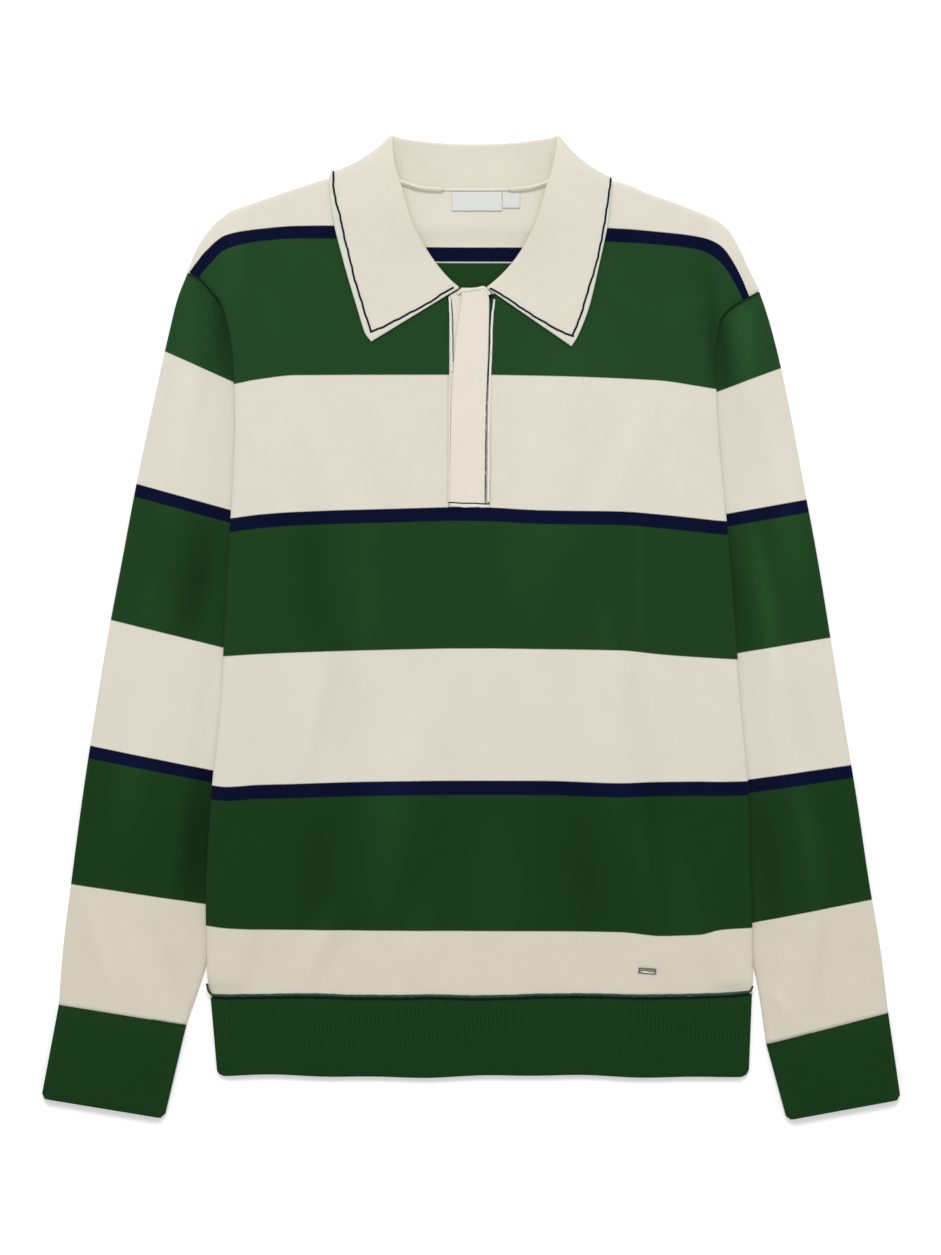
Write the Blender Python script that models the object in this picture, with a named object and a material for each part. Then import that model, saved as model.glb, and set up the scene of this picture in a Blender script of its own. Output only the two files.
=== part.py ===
"""A long-sleeved knitted shirt with a flat collar and a hidden placket, laid face up on a flat surface.

All sizes are millimetres until a mesh is made. +X is to the viewer's right, +Y is towards the
collar, +Z is away from the surface that the shirt lies on. The sleeves run down beside the body and
their inner halves lie under it, so the back panel climbs over them and over the collar's fall.
"""

import math
from typing import NamedTuple

import bmesh
import bpy
import numpy as np

MM = 0.001
MIDDLE = (0.1, -0.6)  # the outline's middle in the tables' own frame, which becomes the origin

WALL = 1.6  # knitted body and sleeve cloth
BAND_WALL = 2.0  # collar, placket, cuffs and waistband
GAP = 0.3  # between pieces at a seam and between layers
FOLD_RUN = 4.5  # how far in from a folded edge the cloth takes to lie flat

FLAT_RISE = 5.6  # front panel's top over the surface, where nothing lies under the body
SLEEVE_UNDER = 4.0  # sleeve's height where the body lies on it
SLEEVE_CROWN = 3.4  # how much higher the sleeve stands clear of the body
CROWN_CLIMB = (6.0, 26.0)  # the sleeve climbs between these distances from the body's edge
SLEEVE_LIFT = SLEEVE_UNDER + GAP  # back panel over a sleeve
COLLAR_LIFT = BAND_WALL + 2 * GAP  # back panel over the collar's fall
SLEEVE_CLIMB = (-46.0, -22.0)  # the panels climb between these distances from a hidden sleeve
FRONT_SHARE = 0.82  # how much of the back panel's climb the front panel shows
HEM_CLIMB = (1.0, 15.0)  # the panels climb between these distances above the hem
ARMHOLE_CLIMB = (-325.0, -285.0)  # and come down again between these heights, past the sleeve's head

COLLAR_MIDDLE_X = 3.0
FALL_CLIMB_Y = (296.0, 313.0)  # the back panel climbs over the collar's fall between these heights
FALL_CLIMB_X = (-140.0, -120.0)  # and between these distances from the collar's middle
LEAF_LIFT = 0.8  # collar's leaf over the front panel
LEAF_SHARES = (0.0, 0.2, 0.42, 0.64, 0.84, 1.0)
ROLL_RUN = 1.2  # how far from the roll the stand and the leaf start to turn
LEAF_SAG = 3.6  # how far the leaf's shoulder line sinks between the roll and its corner
PEAK_PRESS = 0.5  # how much thinner the wall is pressed where the roll turns from front to back
ROLL_OUTWARD = (0.5, 0.866)  # the roll's outward way at the collar's two ends of the back

HEM_Y = -288.0
BAND_END_Y = -349.0
SLOT_LEFT = -17.3
SLOT_RIGHT = 14.6
SLOT_END_Y = 93.0
BODY_HALF_WIDTH = 190.0
BACK_NECK_SPREAD_Y = (240.0, 330.0)  # the back's columns widen to the neckline between these heights
BACK_NECK_DIP_Y = 290.0  # the back's rows start to dip towards the neckline here

OVER_FREE_LIFT = 2.0  # upper placket band's free edge over the front panel's surface
OVER_SEWN_LIFT = GAP
UNDER_SEWN_LIFT = -0.4
UNDER_FREE_LIFT = -2.1

RIB_PITCH = 2.1
RIB_DEPTH = 0.5
INNER_STEP = 16.0  # between the points of a band's plain inside

CREAM = (0.76, 0.72, 0.62, 1.0)
GREEN = (0.012, 0.045, 0.014, 1.0)
LABEL_WHITE = (0.72, 0.73, 0.74, 1.0)
TAB_METAL = (0.42, 0.39, 0.35, 1.0)


class BodyRow(NamedTuple):
    """Where one row of the body meets its two side edges; middle_y is the row's height at the centre."""

    middle_y: float
    left_x: float
    left_y: float
    right_x: float
    right_y: float


BODY_ROWS = (
    BodyRow(-288.0, -202.5, -288.0, 218.5, -288.0),
    BodyRow(-265.0, -205.0, -265.0, 218.8, -265.0),
    BodyRow(-212.0, -206.0, -212.0, 218.0, -212.0),
    BodyRow(-134.0, -202.0, -134.0, 216.0, -134.0),
    BodyRow(-53.0, -194.0, -53.0, 209.0, -53.0),
    BodyRow(21.0, -190.5, 21.0, 204.0, 21.0),
    BodyRow(100.0, -186.0, 100.0, 197.0, 100.0),
    BodyRow(158.0, -183.5, 158.0, 192.0, 158.0),
    BodyRow(206.0, -185.0, 206.0, 190.0, 204.0),
    BodyRow(250.0, -190.0, 238.0, 193.0, 236.0),
    BodyRow(284.0, -195.0, 252.5, 202.5, 248.5),
    BodyRow(310.0, -202.0, 261.0, 210.0, 253.0),
    BodyRow(332.0, -209.0, 269.0, 217.0, 257.0),
    BodyRow(350.0, -220.0, 276.0, 224.0, 261.0),
)


class ShoulderPoint(NamedTuple):
    """A point of the shoulder line: its share of the way to the neck, and of the rise on each side."""

    across: float
    left_rise: float
    right_rise: float


SHOULDER_LINE = (
    ShoulderPoint(0.0, 0.0, 0.0),
    ShoulderPoint(0.035, 0.185, 0.170),
    ShoulderPoint(0.065, 0.338, 0.270),
    ShoulderPoint(0.104, 0.446, 0.410),
    ShoulderPoint(0.162, 0.560, 0.545),
    ShoulderPoint(0.221, 0.640, 0.625),
    ShoulderPoint(0.344, 0.733, 0.716),
    ShoulderPoint(0.565, 0.889, 0.853),
    ShoulderPoint(0.734, 0.980, 0.956),
    ShoulderPoint(1.0, 1.0, 1.0),
)


class NeckPoint(NamedTuple):
    """The front neckline's half widths at one height; below the top of the slot they are the slot's."""

    y: float
    left_x: float
    right_x: float


FRONT_NECK = (
    NeckPoint(-288.0, SLOT_LEFT, SLOT_RIGHT),
    NeckPoint(246.0, SLOT_LEFT, SLOT_RIGHT),
    NeckPoint(258.0, -19.5, 17.5),
    NeckPoint(272.0, -31.0, 35.0),
    NeckPoint(292.0, -46.0, 51.0),
    NeckPoint(316.0, -58.0, 63.0),
    NeckPoint(336.0, -64.0, 70.0),
    NeckPoint(350.0, -66.0, 72.0),
)
BACK_NECK_DIP = 10.0  # how far the back neckline's middle lies below its ends


class CuffStep(NamedTuple):
    """A section of a cuff: its share of the way down, and how far its corners are rounded in."""

    share: float
    corner: float


CUFF_STEPS = (CuffStep(0.03, 0.0), CuffStep(0.95, 0.0), CuffStep(1.0, 2.6))


class SleeveRow(NamedTuple):
    """One section of a sleeve, from its outer folded edge to its inner one.

    bow is how far the section swells towards the neck, where the sleeve's head tucks under the body.
    """

    outer_x: float
    outer_y: float
    inner_x: float
    inner_y: float
    bow: float = 0.0


LEFT_SLEEVE = (
    SleeveRow(-220.4, 275.5, -112.0, 66.0, 15.0),
    SleeveRow(-228.4, 254.0, -111.5, 61.0, 8.0),
    SleeveRow(-236.0, 223.0, -111.5, 57.0, 3.0),
    SleeveRow(-246.3, 176.4, -112.0, 53.0),
    SleeveRow(-259.5, 114.2, -114.0, 47.0),
    SleeveRow(-271.2, 52.0, -124.4, 12.6),
    SleeveRow(-282.8, -10.0, -141.1, -45.3),
    SleeveRow(-293.0, -72.3, -159.3, -102.0),
    SleeveRow(-302.3, -134.4, -176.7, -159.3),
    SleeveRow(-310.5, -196.6, -193.0, -218.3),
    SleeveRow(-317.2, -252.0, -208.0, -270.0),
    SleeveRow(-320.4, -293.4, -221.2, -309.2),
)
RIGHT_SLEEVE = (
    SleeveRow(224.4, 260.5, 115.0, 64.0, 19.5),
    SleeveRow(231.5, 238.5, 114.5, 59.0, 10.0),
    SleeveRow(237.8, 215.0, 114.5, 55.0, 4.0),
    SleeveRow(246.3, 176.4, 115.0, 50.0),
    SleeveRow(258.0, 114.2, 116.5, 44.0),
    SleeveRow(269.6, 52.0, 121.0, 18.0),
    SleeveRow(279.7, -10.0, 136.1, -36.6),
    SleeveRow(289.8, -72.3, 153.9, -96.3),
    SleeveRow(300.0, -134.4, 172.2, -158.1),
    SleeveRow(309.2, -196.6, 195.5, -217.0),
    SleeveRow(318.4, -252.0, 220.5, -268.0),
    SleeveRow(324.3, -299.7, 229.6, -324.4),
)
LEFT_CUFF = (SleeveRow(-320.4, -293.4, -221.2, -309.2), SleeveRow(-334.2, -366.0, -238.2, -381.8))
RIGHT_CUFF = (SleeveRow(324.3, -299.7, 229.6, -324.4), SleeveRow(334.2, -366.9, 245.3, -383.2))


class BowPoint(NamedTuple):
    """A point of the sleeve head's swelling, by its share of the way along the section."""

    along: float
    swell: float


SLEEVE_HEAD = (
    BowPoint(0.0, 0.0),
    BowPoint(0.02, 0.33),
    BowPoint(0.05, 0.63),
    BowPoint(0.10, 0.90),
    BowPoint(0.16, 1.0),
    BowPoint(0.25, 0.90),
    BowPoint(0.50, 0.28),
    BowPoint(1.0, 0.0),
)


class BandRow(NamedTuple):
    """One row of the waistband, from its left edge to its right one."""

    y: float
    left_x: float
    right_x: float


WAISTBAND = (
    BandRow(HEM_Y - GAP, -202.5, 218.5),
    BandRow(-290.2, -202.3, 218.4),
    BandRow(-345.0, -197.6, 216.2),
    BandRow(BAND_END_Y, -192.5, 211.2),
)


class Fold(NamedTuple):
    """A soft ridge, or a trough where height is negative; along is its direction from +X."""

    x: float
    y: float
    along: float
    length: float
    width: float
    height: float


BODY_FOLDS = (
    Fold(-124.0, 30.0, 92.0, 85.0, 15.0, -0.9),
    Fold(-60.0, -108.0, 70.0, 60.0, 22.0, 1.3),
    Fold(-164.0, -75.0, 84.0, 55.0, 12.0, -0.7),
    Fold(-98.0, -70.0, 96.0, 60.0, 13.0, -1.2),
    Fold(-124.0, -72.0, 88.0, 50.0, 11.0, 1.0),
    Fold(132.0, -95.0, 98.0, 70.0, 9.0, -1.5),
    Fold(108.0, -70.0, 94.0, 65.0, 14.0, 1.6),
    Fold(-60.0, -180.0, 80.0, 70.0, 20.0, 1.9),
    Fold(-118.0, -185.0, 86.0, 65.0, 22.0, -1.3),
    Fold(88.0, -180.0, 97.0, 65.0, 22.0, -1.5),
    Fold(-105.0, -255.0, 62.0, 30.0, 9.0, -1.2),
    Fold(-118.0, -245.0, 66.0, 34.0, 10.0, 1.3),
    Fold(-45.0, -250.0, 72.0, 36.0, 12.0, 1.2),
    Fold(165.0, -225.0, 100.0, 50.0, 15.0, 1.0),
    Fold(-182.0, 300.0, 84.0, 40.0, 9.0, 1.1),
    Fold(-172.0, 275.0, 92.0, 45.0, 8.0, -1.0),
    Fold(176.0, 275.0, 88.0, 50.0, 9.0, -1.2),
    Fold(60.0, 120.0, 80.0, 110.0, 30.0, 0.8),
    Fold(20.0, -210.0, 90.0, 80.0, 24.0, 0.7),
)
SLEEVE_FOLDS = (
    Fold(-224.0, 150.0, 82.0, 60.0, 12.0, 1.6),
    Fold(-206.0, 175.0, 84.0, 70.0, 8.0, -0.9),
    Fold(-212.0, 35.0, 76.0, 48.0, 11.0, -1.5),
    Fold(-245.0, 10.0, 80.0, 60.0, 13.0, 1.4),
    Fold(-218.0, -165.0, 82.0, 60.0, 9.0, -1.1),
    Fold(-262.0, -110.0, 78.0, 50.0, 13.0, 1.3),
    Fold(-287.0, -250.0, 104.0, 42.0, 8.0, 1.5),
    Fold(-230.0, -275.0, 108.0, 30.0, 8.0, -1.2),
    Fold(-262.0, -262.0, 100.0, 36.0, 9.0, 1.0),
    Fold(212.0, 200.0, 96.0, 60.0, 8.0, 1.2),
    Fold(220.0, 140.0, 98.0, 55.0, 8.0, -1.2),
    Fold(245.0, 90.0, 98.0, 60.0, 13.0, 1.4),
    Fold(208.0, 25.0, 100.0, 55.0, 9.0, -1.0),
    Fold(230.0, 10.0, 100.0, 60.0, 9.0, 1.4),
    Fold(256.0, -80.0, 98.0, 40.0, 8.0, -1.3),
    Fold(262.0, -165.0, 100.0, 60.0, 10.0, 1.6),
    Fold(232.0, -180.0, 98.0, 50.0, 9.0, -1.0),
    Fold(275.0, -255.0, 84.0, 40.0, 6.0, -1.4),
    Fold(240.0, -292.0, 128.0, 22.0, 6.0, 1.2),
)


class CollarRow(NamedTuple):
    """One section of the collar: neck seam, roll, free edge, and which way the stand faces.

    turn is 90 where the leaf lies on the stand, in front, and -90 where it lies under it, behind.
    """

    seam_x: float
    seam_y: float
    roll_x: float
    roll_y: float
    edge_x: float
    edge_y: float
    turn: float


LEFT_COLLAR = (
    CollarRow(-19.0, 258.0, -9.5, 263.0, -77.5, 221.5, 90.0),
    CollarRow(-30.5, 272.0, -18.0, 270.5, -82.0, 227.5, 90.0),
    CollarRow(-45.5, 292.0, -31.0, 286.5, -88.9, 249.0, 90.0),
    CollarRow(-57.5, 316.0, -45.5, 312.5, -99.4, 285.0, 90.0),
    CollarRow(-63.5, 336.0, -53.5, 338.5, -107.5, 319.0, 90.0),
    CollarRow(-65.0, 345.5, -60.0, 362.0, -110.0, 342.0, 90.0),
    CollarRow(-65.0, 351.5, -61.0, 374.0, -108.7, 347.7, 60.0),
    CollarRow(-64.0, 352.0, -60.5, 379.5, -106.0, 349.1, 20.0),
    CollarRow(-63.0, 351.6, -59.0, 380.0, -103.5, 348.6, -20.0),
    CollarRow(-61.0, 350.2, -55.5, 379.0, -99.5, 345.5, -60.0),
    CollarRow(-55.0, 347.4, -48.0, 378.0, -84.0, 334.0, -90.0),
    CollarRow(-38.0, 341.6, -34.0, 376.2, -54.0, 326.0, -90.0),
    CollarRow(-18.0, 340.6, -15.0, 374.8, -24.0, 324.0, -90.0),
)
CENTRE_COLLAR = CollarRow(3.0, 340.5, 3.0, 374.4, 3.0, 323.5, -90.0)
RIGHT_COLLAR = (
    CollarRow(24.0, 340.6, 21.0, 374.8, 30.0, 324.0, -90.0),
    CollarRow(44.0, 341.6, 40.0, 376.2, 60.0, 326.0, -90.0),
    CollarRow(61.0, 347.4, 54.0, 378.0, 90.0, 334.0, -90.0),
    CollarRow(67.0, 350.2, 61.5, 379.0, 101.0, 343.0, -60.0),
    CollarRow(69.0, 351.6, 65.0, 380.0, 104.5, 345.1, -20.0),
    CollarRow(70.0, 352.0, 66.5, 379.5, 106.7, 345.1, 20.0),
    CollarRow(71.0, 351.5, 66.5, 374.0, 108.4, 344.2, 60.0),
    CollarRow(71.0, 345.5, 64.5, 360.0, 109.0, 339.0, 90.0),
    CollarRow(69.5, 336.0, 58.0, 338.5, 107.0, 318.0, 90.0),
    CollarRow(62.5, 316.0, 50.0, 312.5, 99.5, 281.0, 90.0),
    CollarRow(50.5, 292.0, 36.5, 287.5, 91.0, 246.0, 90.0),
    CollarRow(34.5, 272.0, 23.0, 272.0, 82.0, 224.0, 90.0),
    CollarRow(17.0, 258.0, 12.5, 263.0, 78.0, 217.8, 90.0),
)


def table_slopes(stations, values):
    """Slopes at a table's stations that never carry the curve past its neighbours."""
    spans = np.diff(stations).reshape((-1,) + (1,) * (values.ndim - 1))
    rates = np.diff(values, axis=0) / spans
    before, after = rates[:-1], rates[1:]
    same_way = before * after > 0
    total = np.where(same_way, before + after, 1.0)
    between = np.where(same_way, 2 * before * after / total, 0.0)
    return np.concatenate((rates[:1], between, rates[-1:]))


def smooth(stations, values, at):
    """Values at the given stations of a smooth curve through a table."""
    stations, values, at = (np.asarray(each, float) for each in (stations, values, at))
    slope = table_slopes(stations, values)
    low = np.clip(np.searchsorted(stations, at, side="right") - 1, 0, len(stations) - 2)
    step = stations[low + 1] - stations[low]
    share = np.clip((at - stations[low]) / step, 0.0, 1.0)
    if values.ndim > 1:
        step, share = step[..., None], share[..., None]
    rise = 3 * share**2 - 2 * share**3
    bend = share * (1 - share)
    return (
        values[low] * (1 - rise)
        + values[low + 1] * rise
        + step * bend * ((1 - share) * slope[low] - share * slope[low + 1])
    )


def eased(value, start, end):
    """0 before start, 1 after end, and a smooth climb between them."""
    share = np.clip((value - start) / (end - start), 0.0, 1.0)
    return share * share * (3 - 2 * share)


def fold_height(folds, x, y):
    """The sum of the soft ridges and troughs at x, y."""
    total = np.zeros(np.broadcast(x, y).shape)
    for fold in folds:
        turn = math.radians(fold.along)
        along = (x - fold.x) * math.cos(turn) + (y - fold.y) * math.sin(turn)
        across = (y - fold.y) * math.cos(turn) - (x - fold.x) * math.sin(turn)
        total += fold.height * np.exp(-((along / fold.length) ** 2) - (across / fold.width) ** 2)
    return total


def body_edges(y):
    """The body's left and right edge at height y, its hem edges below the hem."""
    rows = np.array(BODY_ROWS)
    return smooth(rows[:, 2], rows[:, 1], y), smooth(rows[:, 4], rows[:, 3], y)


def section_points(row, along):
    """Points of a sleeve's section at the given distances from its outer fold."""
    start, end, bow = np.array(row[:2]), np.array(row[2:4]), row[4]
    length = np.linalg.norm(end - start)
    way = (end - start) / length
    side = np.array((-way[1], way[0])) * math.copysign(1.0, way[0])
    head = np.array(SLEEVE_HEAD)
    swell = bow * smooth(head[:, 0], head[:, 1], along / length)
    return start + way * along[:, None] + side * swell[:, None]


def hidden_edge(table, y):
    """How far in under the body a sleeve reaches at height y: its inner fold, then its head."""
    rows = np.array(table)
    length = math.hypot(*(rows[0, 2:4] - rows[0, :2]))
    head = section_points(rows[0], length * np.array((0.45, 0.2, 0.1, 0.0)))
    edge = np.concatenate((rows[::-1, 2:4], head))
    return np.interp(y, edge[:, 1], edge[:, 0])


def back_rise(x, y):
    """Height of the back panel's underside: 0, or clear of the sleeve or collar fall beneath it."""
    from_left = hidden_edge(LEFT_SLEEVE, y) - x
    from_right = x - hidden_edge(RIGHT_SLEEVE, y)
    over_sleeve = eased(np.maximum(from_left, from_right), *SLEEVE_CLIMB)
    over_sleeve = over_sleeve * eased(y - HEM_Y, *HEM_CLIMB) * eased(-y, *ARMHOLE_CLIMB)
    over_fall = eased(y, *FALL_CLIMB_Y) * eased(-np.abs(x - COLLAR_MIDDLE_X), *FALL_CLIMB_X)
    return SLEEVE_LIFT * over_sleeve + COLLAR_LIFT * over_fall


def front_rise(x, y):
    """Height of the front panel's top, with its folds."""
    return FLAT_RISE + FRONT_SHARE * back_rise(x, y) + fold_height(BODY_FOLDS, x, y)


def sleeve_rise(x, y):
    """Height of a sleeve's top: low under the body, higher beside it, with its folds."""
    left, right = body_edges(y)
    clear = np.maximum(left - x, x - right)
    beside = eased(clear, *CROWN_CLIMB)
    return SLEEVE_UNDER + beside * (SLEEVE_CROWN + fold_height(SLEEVE_FOLDS, x, y))


def half_shares(width, steps):
    """Shares of a row from a folded edge inwards: close along the fold, then even."""
    turns = np.radians((0.0, 30.0, 60.0, 90.0))
    near = FOLD_RUN * (1 - np.cos(turns)) / width
    return np.concatenate((near, np.linspace(near[-1], 1.0, steps + 1)[1:]))


def side_curves(middle_y):
    """Left end, right end and the neckline's two ends of each row of the body."""
    rows, neck = np.array(BODY_ROWS), np.array(FRONT_NECK)
    ends = smooth(rows[:, 0], rows[:, 1:], middle_y)
    inner = smooth(neck[:, 0], neck[:, 1:], middle_y)
    return ends[:, :2], ends[:, 2:], inner[:, 0], inner[:, 1]


def half_rows(ends, inner_x, middle_y, shares, rises):
    """Grid of x, y from a side edge to the neckline or slot, each row bent as the shoulder is."""
    line = np.array(SHOULDER_LINE)
    lift = smooth(line[:, 0], line[:, rises], shares)
    x = ends[:, :1] + (inner_x[:, None] - ends[:, :1]) * shares
    y = ends[:, 1:] + (middle_y[:, None] - ends[:, 1:]) * lift
    return np.stack((x, y), axis=2)


def row_heights():
    """Middle heights of the body's rows: even up the slot, then on the neckline's points and the fold."""
    neck = [point.y for point in FRONT_NECK[1:-1]]
    top = BODY_ROWS[-1].middle_y
    fold = FOLD_RUN * (1 - np.cos(np.radians((90.0, 60.0, 30.0, 0.0))))
    below = np.linspace(HEM_Y + GAP / 2, SLOT_END_Y, 17)
    above = np.linspace(SLOT_END_Y, neck[0], 8)
    return np.concatenate((below, above[1:], neck[1:], top - fold))


def body_grid(half_steps):
    """Grid of x, y over the whole body, the two halves side by side, and the rows' middle heights."""
    middle_y = row_heights()
    left, right, left_in, right_in = side_curves(middle_y)
    shares = half_shares(BODY_HALF_WIDTH, half_steps)
    left_half = half_rows(left, left_in, middle_y, shares, 1)
    right_half = half_rows(right, right_in, middle_y, shares, 2)[:, ::-1]
    return np.concatenate((left_half, right_half), axis=1), middle_y


def edge_reach(grid, line, side):
    """Distance of each x, y from one folded edge, and the level way in from that edge.

    side is 1 where the body lies to the right of the line's direction, and -1 to its left.
    """
    flat = grid.reshape(-1, 2)
    nearest = np.full(len(flat), np.inf)
    ways = np.zeros_like(flat)
    for start, end in zip(line[:-1], line[1:]):
        run = end - start
        share = np.clip((flat - start) @ run / (run @ run), 0.0, 1.0)
        gap = np.linalg.norm(flat - start - share[:, None] * run, axis=1)
        closer = gap < nearest
        nearest[closer] = gap[closer]
        ways[closer] = side * np.array((run[1], -run[0])) / np.linalg.norm(run)
    return nearest.reshape(grid.shape[:2]), ways.reshape(grid.shape)


def wall_normals(skin):
    """Unit normals of a grid of points, pointing up where the grid lies flat."""
    normal = np.cross(np.gradient(skin, axis=1), np.gradient(skin, axis=0))
    return normal / np.linalg.norm(normal, axis=2, keepdims=True)


def finished(name, bm, colour, roughness=0.85, metallic=0.0):
    """A smooth-shaded object from a closed bmesh in millimetres, with its own material."""
    for vert in bm.verts:
        vert.co = (
            (vert.co.x - MIDDLE[0]) * MM,
            (vert.co.y - MIDDLE[1]) * MM,
            vert.co.z * MM,
        )
    bmesh.ops.recalc_face_normals(bm, faces=bm.faces)
    bmesh.ops.triangulate(bm, faces=bm.faces)
    mesh = bpy.data.meshes.new(name)
    bm.to_mesh(mesh)
    bm.free()
    mesh.shade_smooth()
    mesh.set_sharp_from_angle(angle=math.radians(50))
    material = bpy.data.materials.new(f"{name}_finish")
    material.use_nodes = True
    shader = material.node_tree.nodes["Principled BSDF"]
    shader.inputs["Base Color"].default_value = colour
    shader.inputs["Roughness"].default_value = roughness
    shader.inputs["Metallic"].default_value = metallic
    mesh.materials.append(material)
    obj = bpy.data.objects.new(name, mesh)
    bpy.data.collections["popover_shirt"].objects.link(obj)
    return obj


def wall(name, outer, inner, colour, closed=False, keep=None):
    """A closed wall between two grids of points; closed joins the last column to the first.

    keep is a mask of the grid's cells. Each bare edge of what is kept gets a rim.
    """
    rows, columns = outer.shape[:2]
    bm = bmesh.new()
    skins = [
        [[bm.verts.new(point) for point in row] for row in np.asarray(skin, float).tolist()]
        for skin in (outer, inner)
    ]
    edges = set()
    for i in range(rows - 1):
        for j in range(columns if closed else columns - 1):
            if keep is not None and not keep[i, j]:
                continue
            right = (j + 1) % columns
            corners = ((i, j), (i, right), (i + 1, right), (i + 1, j))
            bm.faces.new([skins[0][a][b] for a, b in corners])
            bm.faces.new([skins[1][a][b] for a, b in reversed(corners)])
            edges.update(zip(corners, corners[1:] + corners[:1]))
    for start, end in edges:
        if (end, start) not in edges:
            rim = [skins[0][end[0]][end[1]], skins[0][start[0]][start[1]]]
            rim += [skins[1][start[0]][start[1]], skins[1][end[0]][end[1]]]
            bm.faces.new(rim)
    bmesh.ops.delete(bm, geom=[v for v in bm.verts if not v.link_faces], context="VERTS")
    return finished(name, bm, colour)


def panel_skins(grid, half, upper):
    """Outside and inside of the front (upper) or back panel, whose sides and shoulders are folded over.

    At a folded edge both panels come to the seam halfway between them. The inside follows the outside
    a wall's thickness away: level at the seam, straight up or down where the cloth lies flat.
    """
    lines = ((grid[:, 0], 1.0), (grid[-1, :half], 1.0), (grid[:, -1], -1.0), (grid[-1, ::-1][:half], -1.0))
    reaches = [edge_reach(grid, line, side) for line, side in lines]
    shares = [np.clip(gap / FOLD_RUN, 0.0, 1.0) for gap, _ in reaches]
    round_off = np.sqrt(1 - (1 - np.minimum.reduce(shares)) ** 2)
    low, high = back_rise(grid[..., 0], grid[..., 1]), front_rise(grid[..., 0], grid[..., 1])
    seam = (low + high) / 2 + (GAP / 2 if upper else -GAP / 2)
    outside, inside = (high, high - WALL) if upper else (low, low + WALL)
    pushes = [WALL * (1 - share)[..., None] * way for share, (_, way) in zip(shares, reaches)]
    outer = np.dstack((grid, seam + (outside - seam) * round_off))
    inner = np.dstack((grid + sum(pushes), seam + (inside - seam) * round_off))
    return outer, inner


def front_panel():
    """The front: two halves that part at the slot and the neckline, joined below them."""
    grid, middle_y = body_grid(9)
    half = grid.shape[1] // 2
    outer, inner = panel_skins(grid, half, upper=True)
    keep = np.ones((grid.shape[0] - 1, grid.shape[1] - 1), bool)
    keep[middle_y[:-1] >= SLOT_END_Y - GAP, half - 1] = False
    return wall("front", outer, inner, CREAM, keep=keep)


def back_grid():
    """Grid of x, y over the back panel, with its shallow neckline, and its half's column count."""
    grid, middle_y = body_grid(9)
    half = grid.shape[1] // 2
    spread = eased(middle_y, *BACK_NECK_SPREAD_Y)
    neck = FRONT_NECK[-1]
    ends = []
    for columns, outer, inner, wide in (
        (range(half), 0, half - 1, neck.left_x),
        (range(half, 2 * half), -1, half, neck.right_x),
    ):
        edge, end = grid[:, outer, 0].copy(), grid[:, inner, 0].copy()
        new_end = end + (wide - end) * spread
        for j in columns:
            grid[:, j, 0] = edge + (grid[:, j, 0] - edge) / (end - edge) * (new_end - edge)
        ends.append(new_end)
    share = np.linspace(0.0, 1.0, 6)[1:-1]
    dip = BACK_NECK_DIP * eased(middle_y, BACK_NECK_DIP_Y, neck.y)
    x = ends[0][:, None] + (ends[1] - ends[0])[:, None] * share
    y = middle_y[:, None] - dip[:, None] * (1 - np.abs(2 * share - 1) ** 5)
    centre = np.stack((x, y), axis=2)
    return np.concatenate((grid[:, :half], centre, grid[:, half:]), axis=1), half


def back_panel():
    """The back: flat on the surface in the middle, lifted over the sleeves and the collar's fall."""
    grid, half = back_grid()
    outer, inner = panel_skins(grid, half, upper=False)
    return wall("back", outer, inner, CREAM)


def ring(row, rise, inset, top_steps, bottom_steps):
    """Points round one flattened section, from its outer fold over the top and back underneath.

    rise gives the top's height at x, y; inset moves the whole section inwards, for the wall's inside.
    """
    length = math.hypot(row[2] - row[0], row[3] - row[1])
    turns = np.radians((0.0, 30.0, 60.0, 90.0))
    near = inset + (FOLD_RUN - inset) * (1 - np.cos(turns))
    flat = np.linspace(FOLD_RUN, length - FOLD_RUN, top_steps + 1)
    along = np.concatenate((near[:-1], flat, length - near[-2::-1]))
    climb = np.concatenate((np.sin(turns[:-1]), np.ones(len(flat)), np.sin(turns[-2::-1])))
    below = np.linspace(length - FOLD_RUN, FOLD_RUN, bottom_steps + 1)
    along_below = np.concatenate((length - near[1:-1], below, near[-2:0:-1]))
    drop = np.concatenate((np.sin(turns[1:-1]), np.ones(len(below)), np.sin(turns[-2:0:-1])))
    at, at_below = section_points(row, along), section_points(row, along_below)
    high, high_below = rise(at[:, 0], at[:, 1]), rise(at_below[:, 0], at_below[:, 1])
    top = high / 2 + (high / 2 - inset) * climb
    bottom = high_below / 2 - (high_below / 2 - inset) * drop
    return np.vstack((np.column_stack((at, top)), np.column_stack((at_below, bottom))))


def pulled_back(row, towards, distance):
    """A section moved along its two edges towards another one."""
    row = row.copy()
    for ends in (slice(0, 2), slice(2, 4)):
        way = towards[ends] - row[ends]
        row[ends] += distance * way / np.linalg.norm(way)
    return row


def sleeve(name, table, spans):
    """A sleeve: a flattened tube from the armhole to the cuff, open at both ends."""
    rows = np.array(table)
    stations = np.arange(len(rows), dtype=float)
    sections = smooth(stations, rows, np.linspace(0.0, stations[-1], spans + 1))
    sections[-1] = pulled_back(sections[-1], sections[-2], GAP / 2)
    skins = [
        np.array([ring(row, sleeve_rise, inset, 9, 2) for row in sections]) for inset in (0.0, WALL)
    ]
    return wall(name, *skins, CREAM, closed=True)


def stitch(bm, first, second, first_at, second_at):
    """Triangles between two closed rings; the first has more points, each joined to the nearest."""
    i = j = 0
    while i < len(first) or j < len(second):
        next_first = first_at[i + 1] if i < len(first) else math.inf
        next_second = (second_at[j] + second_at[j + 1]) / 2 if j < len(second) else math.inf
        a, b = first[i % len(first)], second[j % len(second)]
        if next_first <= next_second:
            bm.faces.new((a, first[(i + 1) % len(first)], b))
            i += 1
        else:
            bm.faces.new((a, second[(j + 1) % len(second)], b))
            j += 1


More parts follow.
